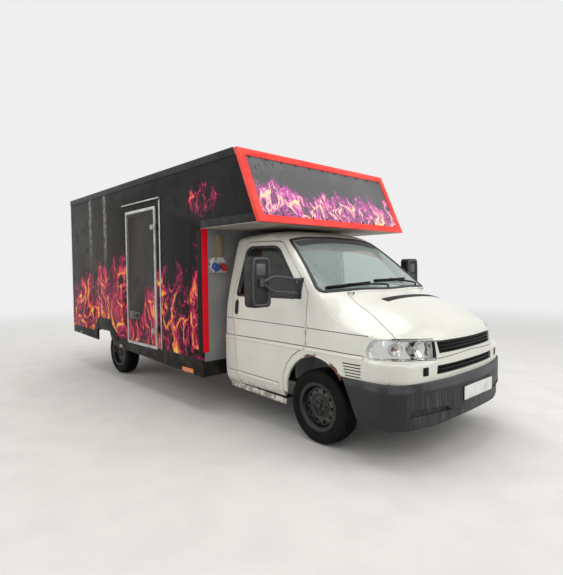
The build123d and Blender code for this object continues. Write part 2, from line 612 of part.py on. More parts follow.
# Rear axle: beam, trailing arms, springs and stub ends
rear_tyre_y = rear_tyre_face - tyre_width / 2
front_tyre_y = front_tyre_face - tyre_width / 2
beam_end_y = 760
axle = rod((rear_axle_x, -beam_end_y, tyre_radius), (rear_axle_x, beam_end_y, tyre_radius), 38)
for side in (-1, 1):
    y_low, y_high = sorted((side * 560, side * 620))
    axle = axle + side_prism([(rear_axle_x - 40, 290), (rear_axle_x - 40, 370),
                              (rear_axle_x + 550, member_bottom_z), (rear_axle_x + 630, member_bottom_z),
                              (rear_axle_x + 630, 530)], y_low, y_high)
    axle = axle + rod((rear_axle_x - 20, side * 520, 330), (rear_axle_x - 20, side * 520, floor_bottom_z), 45)
    axle = axle + rod((rear_axle_x, side * (beam_end_y - 5), tyre_radius),
                      (rear_axle_x, side * (rear_tyre_y + 20), tyre_radius), stub_radius)
rear_axle = axle

# Knuckles: upright with stub axle, turning on the kingpin
knuckle = block(-45, 45, -kingpin_y - 25, -kingpin_y + 45, arm_top_z + seam_gap, 430)
knuckle = knuckle + rod((0, -kingpin_y - 10, tyre_radius), (0, -front_tyre_y - 20, tyre_radius), stub_radius)
knuckle = knuckle + rod((0, -kingpin_y, 420), (0, -kingpin_y, well_top_z - seam_gap), 22)


def tyre(middle_y):
    half = tyre_width / 2
    seat = rim_width / 2
    points = [(rim_radius, -seat), (rim_flange + 1, -seat), (262, -half), (305, -half + 8),
              (tyre_radius - tread_crown, -half + 22), (tyre_radius, -45), (tyre_radius, 45),
              (tyre_radius - tread_crown, half - 22), (305, half - 8), (262, half),
              (rim_flange + 1, seat), (rim_radius, seat)]
    profile = make_face(Polyline([(0, y, z) for z, y in points], close=True))
    ring = revolve(profile, axis=Axis.Y)
    return ring


def wheel(facing):
    """Pressed wheel with its dish towards facing, -1 for the right side."""
    half = rim_width / 2
    flange = 7
    barrel = [(rim_radius - 8, -half - flange), (rim_flange, -half - flange), (rim_flange, -half),
              (rim_radius, -half), (rim_radius, half), (rim_flange, half), (rim_flange, half + flange),
              (rim_radius - 8, half + flange)]
    solid = revolve(make_face(Polyline([(0, y, z) for z, y in barrel], close=True)), axis=Axis.Y)
    bore = stub_radius + stub_clearance
    dish = [(bore, 12), (bore, 58), (60, 58), (92, 42), (112, 50), (165, 46), (rim_radius - 8, 20),
            (rim_radius - 8, 12), (160, 38), (112, 42), (92, 34), (70, 46), (70, 12)]
    disc = revolve(make_face(Polyline([(0, facing * y, z) for z, y in dish], close=True)), axis=Axis.Y)
    holes = []
    for number in range(wheel_hole_count):
        angle = 2 * math.pi * number / wheel_hole_count
        x, z = wheel_hole_circle * math.cos(angle), wheel_hole_circle * math.sin(angle)
        holes.append(rod((x, facing * 20, z), (x, facing * 70, z), wheel_hole_radius))
    disc = disc - holes
    drum = revolve(make_face(Polyline([(0, facing * y, z) for z, y in
                                       [(bore, -40), (120, -40), (120, 12), (bore, 12)]], close=True)),
                   axis=Axis.Y)
    return solid + disc + drum


wheel_places = [
    ("front_right", 0, -1, front_tyre_y), ("front_left", 0, 1, front_tyre_y),
    ("rear_right", rear_axle_x, -1, rear_tyre_y), ("rear_left", rear_axle_x, 1, rear_tyre_y),
]
plain_tyre = tyre(0)
wheels = {-1: wheel(-1), 1: wheel(1)}

# Inside the cab
dash_outline = [(-60, 800), (-60, 1240), (-180, 1250), (-330, 1180), (-380, 1040), (-330, 900), (-250, 800)]
dashboard = side_prism(dash_outline, -760, 760)


def seat(middle_y, half_width):
    cushion = side_prism([(-620, cab_floor_z), (-600, 820), (-640, 850), (-1080, 820), (-1120, cab_floor_z)],
                         middle_y - half_width, middle_y + half_width)
    back = side_prism([(-1030, 800), (-960, 860), (-1070, 1420), (-1150, 1440), (-1180, 1400), (-1120, 800)],
                      middle_y - half_width + 10, middle_y + half_width - 10)
    rest = side_prism([(-1090, 1400), (-1100, 1590), (-1180, 1600), (-1170, 1400)],
                      middle_y - 130, middle_y + 130)
    return cushion + back + rest


seats = Compound([seat(420, 250), seat(-350, 400)])
wheel_centre = Vector(-470, 400, 1200)
wheel_tilt = Plane(origin=wheel_centre, z_dir=(-0.62, 0, 0.78))
steering = wheel_tilt * Torus(190, 15)
hub = wheel_tilt * Location((0, 0, -30)) * Cylinder(55, 40)
column = rod(tuple(wheel_centre - wheel_tilt.z_dir * 40), (-350, 400, 1049), 30) - dashboard
steering = steering + hub + column
for angle in (0, 120, 240):
    steering = steering + wheel_tilt * Rotation(0, 0, angle) * Location((110, 0, -18)) * Box(150, 26, 12)

# Mirrors: tall head on two arms from a bracket at the window's front corner
mirror_y, mirror_x = -1210, -390
head = block(mirror_x - 45, mirror_x + 45, mirror_y - 112, mirror_y + 112, 1190, 1630)
head = fillet(head.edges().filter_by(Axis.X), 45)
bracket_outline = [(-190, 1275), (-190, 1440), (-262, 1440), (-250, 1275)]
bracket = (cab_form(-12, *side_x) & side_prism(bracket_outline, *door_reach)) - cab_form(-seam_gap, *side_x)
mirror_solid = head + bracket
for root_y, root_z, head_z in ((-850, 1420, 1470), (-884, 1300, 1330)):
    mirror_solid = mirror_solid + rod((-222, root_y, root_z), (mirror_x, mirror_y + 80, head_z), 9)

# Fuel tank and exhaust, under the floor
fuel_tank = block(-2900, -2200, 480, 950, 420, member_bottom_z)
pipe_y, pipe_radius, muffler_radius = -200, 26, 90
exhaust = rod((80, pipe_y, 385), (-1720, pipe_y, 385), pipe_radius)
exhaust = exhaust + rod((-1700, pipe_y, 440), (-2400, pipe_y, 440), muffler_radius)
exhaust = exhaust + rod((-2380, pipe_y, 490), (-5180, pipe_y, 490), pipe_radius)

pieces = {
    "cab_shell": cab_shell, "hood": hood, "windscreen": windscreen, "nose_panel": nose_panel,
    "grilles": grilles, "headlights": headlights, "front_bumper": bumper,
    "cab_door_right": door, "cab_door_left": mirrored(door),
    "door_glass_right": door_glass, "door_glass_left": mirrored(door_glass),
    "mirror_right": mirror_solid, "mirror_left": mirrored(mirror_solid),
    "dashboard": dashboard, "seats": seats, "steering_wheel": steering,
    "box_right_wall": box_right_wall, "box_left_wall": box_left_wall,
    "box_front_wall": box_front_wall, "box_rear_wall": box_rear_wall,
    "box_floor": box_floor, "box_roof": box_roof, "nose_floor": nose_floor,
    "red_trim": red_trim, "sign_panel": sign_panel, "power_inlets": inlets,
    "door_frame": door_frame, "entrance_door": entrance_door, "serving_hatch": serving_hatch,
    "skirts": skirts, "lamps": lamps, "chassis_frame": chassis_frame, "cab_frame": cab_frame,
    "engine_block": engine_block,
    "rear_axle": rear_axle, "knuckle_right": knuckle, "knuckle_left": mirrored(knuckle),
    "fuel_tank": fuel_tank, "exhaust": exhaust,
}
for place, x, side, y in wheel_places:
    spot = Location((x, side * y, tyre_radius))
    pieces["tyre_" + place] = spot * plain_tyre
    pieces["rim_" + place] = spot * wheels[side]
for name, shape in pieces.items():
    save(name, shape)
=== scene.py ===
import json
import math
import bmesh
import bpy
from mathutils import Matrix, Vector
from mathutils.bvhtree import BVHTree
from mathutils.interpolate import poly_3d_calc


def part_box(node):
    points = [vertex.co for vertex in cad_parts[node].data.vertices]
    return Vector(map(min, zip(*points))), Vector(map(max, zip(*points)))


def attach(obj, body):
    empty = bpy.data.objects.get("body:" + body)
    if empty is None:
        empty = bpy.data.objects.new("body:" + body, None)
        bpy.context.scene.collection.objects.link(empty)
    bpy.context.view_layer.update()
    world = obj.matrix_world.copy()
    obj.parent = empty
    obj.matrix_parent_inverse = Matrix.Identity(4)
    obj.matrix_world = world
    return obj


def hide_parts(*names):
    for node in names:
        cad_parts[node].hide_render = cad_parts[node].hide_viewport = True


# Food truck: a long-nose van cab carrying a black box body with painted flames, a red framed sign
# over the cab, an entrance door on the right and a serving hatch on the left.
# Metres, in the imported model's frame: +X forward, +Y to the truck's left, +Z up.

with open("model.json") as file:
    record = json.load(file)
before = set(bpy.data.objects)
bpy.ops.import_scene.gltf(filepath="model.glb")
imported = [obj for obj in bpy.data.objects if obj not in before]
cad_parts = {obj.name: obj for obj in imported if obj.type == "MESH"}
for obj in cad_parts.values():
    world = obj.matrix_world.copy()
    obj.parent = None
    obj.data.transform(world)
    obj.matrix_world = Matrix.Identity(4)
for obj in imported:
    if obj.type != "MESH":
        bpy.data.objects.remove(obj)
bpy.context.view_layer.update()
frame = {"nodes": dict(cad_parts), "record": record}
nodes = frame["nodes"]
body_of = {node: body for body, members in frame["record"]["behaviour"]["bodies"].items() for node in members}
axle_x = sum(corner.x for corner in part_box("tyre_front_right")) / 2

# Camera
# A plain wide lens at standing eye height off the truck's right front corner, turned to look
# past the cab along the box's right side, with a very small tilt of the camera body.
photo_height_pixels = 575
focal_length_pixels = 457.4
sensor_size = 36
camera_place = Vector((axle_x + 2.666, -3.759, 1.5215))
camera_yaw, camera_pitch, camera_roll = math.radians(137.19), math.radians(-2.314), math.radians(-0.553)
look = Vector((math.cos(camera_yaw) * math.cos(camera_pitch),
               math.sin(camera_yaw) * math.cos(camera_pitch), math.sin(camera_pitch)))
level_right = look.cross(Vector((0, 0, 1))).normalized()
level_up = level_right.cross(look)
right = level_right * math.cos(camera_roll) + level_up * math.sin(camera_roll)
up = level_up * math.cos(camera_roll) - level_right * math.sin(camera_roll)
camera_data = bpy.data.cameras.new("camera")
camera_data.sensor_width = sensor_size
camera_data.lens = focal_length_pixels / photo_height_pixels * sensor_size
camera_data.clip_end = 200
camera = bpy.data.objects.new("camera", camera_data)
camera.matrix_world = Matrix.Translation(camera_place) @ Matrix((right, up, -look)).transposed().to_4x4()
bpy.context.scene.collection.objects.link(camera)
bpy.context.scene.camera = camera
bpy.context.scene.view_settings.view_transform = "Standard"

# Studio
# A wide pale floor that fades into a pale surround, four large soft lamps round the truck and
# one over it. None of it belongs to the truck.
floor_radius = 60
floor_fade = (3.5, 15)
floor_colour = (0.72, 0.70, 0.665)
floor_shade = 0.94
surround_colour = (0.86, 0.865, 0.86, 1)
daylight = (0.97, 0.985, 1.0, 1)
surround_light = 0.52
# Columns: place, size, power in watts
lamps = [((6.5, -7.5, 6.0), 6.0, 120), ((-5.0, -8.0, 5.0), 6.0, 150), ((0.5, 0.0, 9.0), 7.0, 450),
         ((8.0, 3.0, 5.5), 6.0, 250), ((-8.0, 5.0, 5.5), 6.0, 220)]
lamp_target = Vector((0.3, 0, 1.1))


class Finish:
    """A surface finish: one shader, with a short call for each kind of node that feeds it."""

    def __init__(self, name, colour=(0.5, 0.5, 0.5), roughness=0.5, **sockets):
        self.material = bpy.data.materials.new(name)
        self.material.use_nodes = True
        self.tree = self.material.node_tree
        self.tree.nodes.clear()
        self.shader = self.tree.nodes.new("ShaderNodeBsdfPrincipled")
        self.output = self.tree.nodes.new("ShaderNodeOutputMaterial")
        self.tree.links.new(self.shader.outputs[0], self.output.inputs[0])
        self.set("Base Color", colour)
        self.set("Roughness", roughness)
        for socket, value in sockets.items():
            self.set(socket.replace("_", " "), value)
        self.object_place = self.node("ShaderNodeTexCoord").outputs["Object"]
        self.axes = self.node("ShaderNodeSeparateXYZ", Vector=self.object_place).outputs

    def fill(self, socket, value):
        """Links a socket, or gives it a number, a vector or a colour."""
        if isinstance(value, bpy.types.NodeSocket):
            self.tree.links.new(value, socket)
        elif isinstance(value, (tuple, list)) and len(value) == 3 and socket.type == "RGBA":
            socket.default_value = (*value, 1)
        else:
            socket.default_value = value

    def set(self, name, value):
        self.fill(self.shader.inputs[name], value)

    def node(self, kind, settings=None, **inputs):
        made = self.tree.nodes.new(kind)
        for name, value in (settings or {}).items():
            setattr(made, name, value)
        for name, value in inputs.items():
            self.fill(made.inputs[name.replace("_", " ")], value)
        return made

    def place(self, scale=(1, 1, 1), shift=(0, 0, 0), vector=None):
        mapping = self.node("ShaderNodeMapping", Vector=vector or self.object_place, Scale=scale,
                            Location=shift)
        return mapping.outputs[0]

    def noise(self, scale, detail=3.0, vector=None, roughness=0.5):
        made = self.node("ShaderNodeTexNoise", Vector=vector or self.object_place, Scale=scale,
                         Detail=detail, Roughness=roughness)
        return made.outputs[0]

    def math(self, operation, first, second=0.0, clamp=False):
        made = self.node("ShaderNodeMath", {"operation": operation, "use_clamp": clamp})
        self.fill(made.inputs[0], first)
        self.fill(made.inputs[1], second)
        return made.outputs[0]

    def times(self, first, second):
        return self.math("MULTIPLY", first, second)

    def plus(self, first, second, clamp=False):
        return self.math("ADD", first, second, clamp)

    def larger(self, first, second):
        return self.math("MAXIMUM", first, second)

    def away(self, value, middle):
        """How far a value lies from a middle, either way."""
        return self.math("ABSOLUTE", self.math("SUBTRACT", value, middle))

    def reach(self, first, second):
        """The distance that two steps at right angles make together."""
        return self.math("SQRT", self.plus(self.math("POWER", first, 2.0), self.math("POWER", second, 2.0)))

    def fade(self, value, low, high, bottom=0.0, top=1.0):
        """A soft step from bottom, where value is at low, to top, where it is at high."""
        made = self.node("ShaderNodeMapRange", {"interpolation_type": "SMOOTHSTEP"}, Value=value,
                         From_Min=low, From_Max=high, To_Min=bottom, To_Max=top)
        return made.outputs[0]

    def mix(self, amount, first, second):
        made = self.node("ShaderNodeMix", {"data_type": "RGBA"})
        self.fill(made.inputs[0], amount)
        self.fill(made.inputs[6], first)
        self.fill(made.inputs[7], second)
        return made.outputs[2]

    def ramp(self, value, stops):
        """Colours along a value, from a short list of (place, colour)."""
        made = self.node("ShaderNodeValToRGB", Fac=value)
        line = made.color_ramp.elements
        while len(line) < len(stops):
            line.new(0.5)
        for element, (place, colour) in zip(line, stops):
            element.position = place
            element.color = (*colour, 1)
        return made.outputs[0]

    def bump(self, height, distance, strength=1.0):
        made = self.node("ShaderNodeBump", Height=height, Distance=distance, Strength=strength)
        self.set("Normal", made.outputs[0])

    def grained(self, scale, detail, distance, strength):
        """A fine random relief all over."""
        self.bump(self.noise(scale, detail), distance, strength)

    def ribbed(self, direction, scale, distance, strength, distortion=0.0, vector=None):
        """A relief of even waves that run across one direction."""
        waves = self.node("ShaderNodeTexWave", {"bands_direction": direction}, Scale=scale,
                          Vector=vector or self.object_place, Distortion=distortion)
        self.bump(waves.outputs[1], distance, strength)

    def blotched(self, scale, detail, low, high, first, second):
        """Two colours in soft blotches. Gives back how much of the second shows."""
        amount = self.fade(self.noise(scale, detail), low, high)
        self.set("Base Color", self.mix(amount, first, second))
        return amount

    def dulled(self, amount, low, high):
        """Roughness that rises from low to high with an amount."""
        self.set("Roughness", self.fade(amount, 0, 1, low, high))


floor_mesh = bpy.data.meshes.new("floor")
floor_form = bmesh.new()
bmesh.ops.create_circle(floor_form, cap_ends=True, segments=96, radius=floor_radius)
floor_form.to_mesh(floor_mesh)
floor = bpy.data.objects.new("floor", floor_mesh)
bpy.context.scene.collection.objects.link(floor)
floor_finish = Finish("floor", roughness=0.75)
floor_finish.blotched(3.0, 6.0, 0.35, 0.7, floor_colour, tuple(c * floor_shade for c in floor_colour))
flat_place = floor_finish.node("ShaderNodeVectorMath", {"operation": "LENGTH"})
floor_finish.fill(flat_place.inputs[0], floor_finish.object_place)
far = floor_finish.fade(flat_place.outputs["Value"], *floor_fade)
glow = floor_finish.node("ShaderNodeEmission", Color=surround_colour, Strength=1.0)
blend_to_surround = floor_finish.node("ShaderNodeMixShader", Fac=far)
floor_finish.tree.links.new(floor_finish.shader.outputs[0], blend_to_surround.inputs[1])
floor_finish.tree.links.new(glow.outputs[0], blend_to_surround.inputs[2])
floor_finish.tree.links.new(blend_to_surround.outputs[0], floor_finish.output.inputs[0])
floor_mesh.materials.append(floor_finish.material)

world = bpy.data.worlds.new("surround")
bpy.context.scene.world = world
world.use_nodes = True
sky = world.node_tree
sky.nodes.clear()
seen = sky.nodes.new("ShaderNodeBackground")
seen.inputs["Color"].default_value = surround_colour
lit = sky.nodes.new("ShaderNodeBackground")
lit.inputs["Color"].default_value = daylight
lit.inputs["Strength"].default_value = surround_light
path = sky.nodes.new("ShaderNodeLightPath")
seen_by = path.outputs["Is Camera Ray"]
for ray in ("Is Glossy Ray", "Is Transmission Ray"):
    either = sky.nodes.new("ShaderNodeMath")
    either.operation = "MAXIMUM"
    sky.links.new(seen_by, either.inputs[0])
    sky.links.new(path.outputs[ray], either.inputs[1])
    seen_by = either.outputs[0]
choice = sky.nodes.new("ShaderNodeMixShader")
sky.links.new(seen_by, choice.inputs[0])
sky.links.new(lit.outputs[0], choice.inputs[1])
sky.links.new(seen.outputs[0], choice.inputs[2])
sky_output = sky.nodes.new("ShaderNodeOutputWorld")
sky.links.new(choice.outputs[0], sky_output.inputs[0])

for number, (place, size, power) in enumerate(lamps):
    lamp_data = bpy.data.lights.new(f"soft_lamp_{number}", "AREA")
    lamp_data.shape = "SQUARE"
    lamp_data.size = size
    lamp_data.energy = power
    lamp = bpy.data.objects.new(f"soft_lamp_{number}", lamp_data)
    lamp.location = place
    lamp.rotation_euler = (Vector(place) - lamp_target).to_track_quat("Z", "Y").to_euler()
    bpy.context.scene.collection.objects.link(lamp)

# Chassis
# A straight steel ladder frame under the box and a lower frame under the cab that carries it,
# welded from box sections, painted black and dusty from the road.
chassis_black = Finish("chassis_black", Specular_IOR_Level=0.25)
road_dust = chassis_black.blotched(9.0, 6.0, 0.42, 0.68, (0.006, 0.006, 0.006), (0.022, 0.019, 0.016))
chassis_black.dulled(road_dust, 0.45, 0.85)
chassis_black.grained(140.0, 3.0, 0.0012, 0.5)
same_point = 2e-5


def piece_from(form, name, finish, body, slot):
    """Makes an object of a bmesh, gives it its finish and lets it ride on its body."""
    mesh = bpy.data.meshes.new(name)
    form.to_mesh(mesh)
    form.free()
    made = bpy.data.objects.new(name, mesh)
    bpy.context.scene.collection.objects.link(made)
    for one in finish if isinstance(finish, list) else [finish]:
        mesh.materials.append(one.material)
    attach(made, body)
    return made


def smoothed(made, sharp_angle=32):
    made.data.shade_smooth()
    made.data.set_sharp_from_angle(angle=math.radians(sharp_angle))
    return made


def settle(made):
    """Turns what an object's modifiers make into its plain mesh and removes them."""
    depsgraph = bpy.context.evaluated_depsgraph_get()
    mesh = bpy.data.meshes.new_from_object(made.evaluated_get(depsgraph))
    made.modifiers.clear()
    made.data = mesh


def merged(node):
    """A CAD node's loose triangles joined, with each flat face made whole."""
    form = bmesh.new()
    form.from_mesh(nodes[node].data)
    bmesh.ops.remove_doubles(form, verts=form.verts, dist=same_point)
    bmesh.ops.dissolve_limit(form, angle_limit=math.radians(0.3), verts=form.verts, edges=form.edges)
    return form


def painted_by(form, choose):
    """Gives each face the number of the finish that choose picks by its place and direction."""
    for face in form.faces:
        face.material_index = choose(face.calc_center_median(), face.normal)


def dress(node, finish, slot, edge=0.002, segments=2, choose=None):
    """Shows a CAD node with small rounded edges. Choose gives a face's finish by its place."""
    form = merged(node)
    if choose:
        painted_by(form, choose)
    made = piece_from(form, node + "_finished", finish, body_of[node], slot)
    if edge:
        bevel = made.modifiers.new("edges", "BEVEL")
        bevel.width = edge
        bevel.segments = segments
        bevel.limit_method = "ANGLE"
        bevel.angle_limit = math.radians(35)
        settle(made)
    smoothed(made)
    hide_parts(node)


dress("chassis_frame", chassis_black, "chassis_black", 0.004)
dress("cab_frame", chassis_black, "chassis_black", 0.004)

# Engine
# The cast engine and gearbox, bolted together and hung across the front rails as one block,
# seen only from below and under the open hood.
engine_metal = Finish("engine_metal", roughness=0.6, Metallic=0.6)
engine_metal.blotched(6.0, 5.0, 0.4, 0.65, (0.22, 0.22, 0.22), (0.05, 0.045, 0.04))
engine_metal.grained(90.0, 4.0, 0.002, 0.6)
dress("engine_block", engine_metal, "engine_metal", 0.015, 3)

# Axles
# The rear beam axle with its trailing arms and springs, and the two steered front uprights,
# black forgings on the ends of the chassis.
for node in ("rear_axle", "knuckle_right", "knuckle_left"):
    dress(node, chassis_black, "chassis_black", 0.003)

# Wheels
# Black pressed steel discs welded into rolled rims, each held by five bolts, with round cooling
# holes in a ridge painted pale, partly wear and partly a painted highlight, and a small plastic hub cap.
wheel_steel = Finish("wheel_steel", Specular_IOR_Level=0.45)
brake_dust = wheel_steel.blotched(14.0, 5.0, 0.35, 0.75, (0.006, 0.006, 0.007), (0.022, 0.020, 0.017))
wheel_steel.dulled(brake_dust, 0.4, 0.75)
# The pale ring on the pressed ridge: partly wear, partly a painted highlight.
worn_and_highlight_steel = Finish("wheel_steel_worn_and_highlight", roughness=0.42)
worn_and_highlight_steel.blotched(9.0, 5.0, 0.38, 0.62, (0.008, 0.008, 0.007), (0.065, 0.060, 0.053))
bolt_steel = Finish("bolt_steel", roughness=0.45, Metallic=0.8)
bolt_steel.blotched(60.0, 3.0, 0.45, 0.6, (0.17, 0.165, 0.16), (0.10, 0.045, 0.02))
bolt_circle = 0.056
bolt_count = 5
disc_face = 0.058
worn_and_highlight_ring = (0.134, 0.156)
wheel_places = ("front_right", "front_left", "rear_right", "rear_left")
wheel_centre = {}
for place in wheel_places:
    low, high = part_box("tyre_" + place)
    wheel_centre[place] = (low + high) / 2


def started_tree(name, sockets):
    """A geometry node tree with named inputs and one output, and its inputs' sockets."""
    tree = bpy.data.node_groups.new(name, "GeometryNodeTree")
    for title, kind in sockets.items():
        tree.interface.new_socket(title, in_out="INPUT", socket_type=f"NodeSocket{kind}")
    tree.interface.new_socket("Mesh", in_out="OUTPUT", socket_type="NodeSocketGeometry")
    return tree, tree.nodes.new("NodeGroupInput").outputs


def fed(tree, kind, feeds):
    """A new node's first output, with its inputs linked by name or number."""
    made = tree.nodes.new(kind)
    for socket, source in feeds.items():
        tree.links.new(source, made.inputs[socket])
    return made.outputs[0]


def ended_tree(tree, given, points, instance, turn):
    """Sets the instance on the points, makes the copies real and gives them their finish."""
    spread = fed(tree, "GeometryNodeInstanceOnPoints",
                 {"Points": points, "Instance": instance, "Rotation": turn})
    real = fed(tree, "GeometryNodeRealizeInstances", {0: spread})
    painted = fed(tree, "GeometryNodeSetMaterial", {"Geometry": real, "Material": given["Finish"]})
    tree.links.new(painted, tree.nodes.new("NodeGroupOutput").inputs[0])
    return tree


def stud_tree():
    """Nodes that set a short round or hexagonal head on every point of a mesh."""
    tree, given = started_tree("stud_heads", {"Points": "Geometry", "Sides": "Int", "Foot Radius": "Float",
                                              "Top Radius": "Float", "Height": "Float", "Turn": "Vector",
                                              "Finish": "Material"})
    head = fed(tree, "GeometryNodeMeshCone",
               {"Vertices": given["Sides"], "Radius Bottom": given["Foot Radius"],
                "Radius Top": given["Top Radius"], "Depth": given["Height"]})
    return ended_tree(tree, given, given["Points"], head, given["Turn"])


def give(modifier, tree, values):
    """Sets a node modifier's named inputs by their sockets' identifiers."""
    modifier.node_group = tree
    sockets = {item.name: item.identifier for item in tree.interface.items_tree if item.in_out == "INPUT"}
    for name, value in values.items():
        modifier[sockets[name]] = value


heads = stud_tree()


def studs(name, points, turn, finish, body, foot=0.006, top=0.004, height=0.004, sides=12):
    """Rivet, screw or bolt heads at points, all facing one way."""
    spots = bpy.data.meshes.new(name)
    spots.from_pydata([tuple(point) for point in points], [], [])
    made = bpy.data.objects.new(name, spots)
    bpy.context.scene.collection.objects.link(made)
    modifier = made.modifiers.new("heads", "NODES")
    give(modifier, heads, {"Sides": sides, "Foot Radius": foot, "Top Radius": top, "Height": height,
                           "Turn": turn, "Finish": finish.material})
    settle(made)
    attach(made, body)


face_right = (math.pi / 2, 0, 0)
face_left = (-math.pi / 2, 0, 0)


def turned(points, axis, steps, closed):
    """A form turned about an axis through the origin from points beside it."""
    form = bmesh.new()
    corners = [form.verts.new(point) for point in points]
    pairs = list(zip(corners, corners[1:]))
    if closed:
        pairs.append((corners[-1], corners[0]))
    edges = [form.edges.new(pair) for pair in pairs]
    bmesh.ops.spin(form, geom=corners + edges, cent=(0, 0, 0), axis=axis, steps=steps, angle=2 * math.pi)
    bmesh.ops.remove_doubles(form, verts=form.verts, dist=1e-5)
    bmesh.ops.recalc_face_normals(form, faces=form.faces)
    return form


def wheel_ring(name, profile, centre, finish, body, slot, steps=96, closed=True):
    """A ring or cap turned about the wheel's axis from (radius, sideways) points."""
    form = turned([(0, sideways, radius) for radius, sideways in profile], (0, 1, 0), steps, closed)
    bmesh.ops.translate(form, verts=form.verts, vec=centre)
    return smoothed(piece_from(form, name, finish, body, slot))


def rim_finish_round(centre):
    """A choice of finish for a wheel at a centre: a pale ring on the pressed ridge, partly wear and partly a
    painted highlight, black elsewhere.
    """
    def choose(middle, normal):
        out = Vector((middle.x - centre.x, middle.z - centre.z)).length
        return 1 if worn_and_highlight_ring[0] < out < worn_and_highlight_ring[1] else 0
    return choose


for place in wheel_places:
    side = -1 if place.endswith("right") else 1
    body = body_of["rim_" + place]
    centre = wheel_centre[place]
    dress("rim_" + place, [wheel_steel, worn_and_highlight_steel], "wheel_steel", 0, choose=rim_finish_round(centre))
    bolt_angles = [2 * math.pi * n / bolt_count for n in range(bolt_count)]
    bolts = [centre + Vector((bolt_circle * math.cos(angle), side * (disc_face + 0.006),
                              bolt_circle * math.sin(angle))) for angle in bolt_angles]
    studs("wheel_bolts_" + place, bolts, face_left if side > 0 else face_right, bolt_steel, body,
          0.0105, 0.009, 0.014, 6)
    cap = [(0, side * 0.078), (0.016, side * 0.077), (0.025, side * 0.072), (0.029, side * disc_face),
           (0.029, side * 0.050), (0, side * 0.050)]
    wheel_ring("hub_cap_" + place, cap, centre, wheel_steel, body, "wheel_steel", 48, closed=False)

# Tyres
# Road tyres of black rubber pressed on the rims: round shoulders, a ridge that guards the rim,
# and a tread of five rows of blocks cut by four grooves.
tyre_rubber = Finish("tyre_rubber", Specular_IOR_Level=0.1)
dried_mud = tyre_rubber.blotched(10.0, 6.0, 0.42, 0.75, (0.0045, 0.0045, 0.005), (0.017, 0.015, 0.013))
tyre_rubber.dulled(dried_mud, 0.62, 0.92)
tyre_rubber.grained(220.0, 3.0, 0.0006, 0.5)
tyre_radius = 0.325
tread_depth = 0.008
tread_root = 0.004
tread_pitches = 68
tread_gap = 0.0045
block_taper = 0.0012
# Columns: middle of the row across the tyre, its width, drop below the crown, skew along the tyre
tread_rows = [(0.0, 0.024, 0.0, 0.0), (0.032, 0.027, 0.0006, 0.005), (-0.032, 0.027, 0.0006, -0.005),
              (0.064, 0.026, 0.0038, 0.008), (-0.064, 0.026, 0.0038, -0.008)]
# Columns: radius, sideways from the tyre's middle plane
carcass_half = [(0.1925, 0.078), (0.2135, 0.0915), (0.2225, 0.0925), (0.228, 0.0895), (0.245, 0.0945),
                (0.262, 0.0972), (0.268, 0.0985), (0.2745, 0.0975), (0.290, 0.0945), (0.303, 0.0895),
                (0.311, 0.082), (0.3145, 0.0765), (0.3165, 0.060), (0.3170, 0.030)]


def tread_tree():
    """Nodes that carry one pitch of tread blocks round the wheel's axis."""
    tree, given = started_tree("tread_ring", {"Pitch": "Geometry", "Count": "Int", "Step": "Float",
                                              "Finish": "Material"})
    spots = fed(tree, "GeometryNodePoints", {"Count": given["Count"]})
    turn = tree.nodes.new("ShaderNodeMath")
    turn.operation = "MULTIPLY"
    tree.links.new(tree.nodes.new("GeometryNodeInputIndex").outputs[0], turn.inputs[0])
    tree.links.new(given["Step"], turn.inputs[1])
    about = fed(tree, "ShaderNodeCombineXYZ", {"Y": turn.outputs[0]})
    return ended_tree(tree, given, spots, given["Pitch"], about)


def tread_pitch():
    """One pitch of blocks at the top of the tyre, each closed and narrower at its top."""
    form = bmesh.new()
    length = 2 * math.pi * tyre_radius / tread_pitches - tread_gap
    for middle, width, drop, skew in tread_rows:
        corners = []
        foot_and_top = ((tyre_radius - tread_depth - tread_root, 0.0), (tyre_radius - drop, block_taper))
        for height, shrink in foot_and_top:
            for along, across in ((-1, -1), (1, -1), (1, 1), (-1, 1)):
                sideways = middle + across * (width / 2 - shrink)
                forward = along * (length / 2 - shrink) + skew * across
                fall = forward * forward / (2 * tyre_radius)
                corners.append(form.verts.new((forward, sideways, height - drop / 2 - fall)))
        for ring in ((3, 2, 1, 0), (4, 5, 6, 7), (0, 1, 5, 4), (1, 2, 6, 5), (2, 3, 7, 6), (3, 0, 4, 7)):
            form.faces.new([corners[n] for n in ring])
    bmesh.ops.recalc_face_normals(form, faces=form.faces)
    return form


treads = tread_tree()
carcass = carcass_half + [(radius, -sideways) for radius, sideways in reversed(carcass_half)]
for place in wheel_places:
    body = body_of["tyre_" + place]
    carcass_piece = wheel_ring("tyre_carcass_" + place, carcass, wheel_centre[place], tyre_rubber, body,
                               "tyre_rubber")
    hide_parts("tyre_" + place)
    tread = piece_from(tread_pitch(), "tyre_tread_" + place, tyre_rubber, body, "tyre_rubber")
    modifier = tread.modifiers.new("ring", "NODES")
    give(modifier, treads, {"Count": tread_pitches, "Step": 2 * math.pi / tread_pitches,
                            "Finish": tyre_rubber.material})
    settle(tread)
    tread.data.transform(Matrix.Translation(wheel_centre[place]))

# Tank and exhaust
# A steel fuel tank hung from the left of the ladder frame, and the exhaust pipe with its
# silencer, run back under the floor beside the rails.
dress("fuel_tank", chassis_black, "black_trim", 0.03, 4)
dress("exhaust", engine_metal, "engine_metal", 0)

# Cab body
# The cab's pressed and welded steel skin in aged off-white paint, with rolled lips round the
# wheel arches, rust on those lips, road dirt along the sills and thin black seals.
cab_paint = Finish("cab_paint", Coat_Weight=0.45, Coat_Roughness=0.12)
arch_height = 0.42
rust_ring = (0.336, 0.318)
# Columns: x of a rusted place from the axle, its reach either way
rust_places = [(-0.045, 0.06), (0.285, 0.10)]


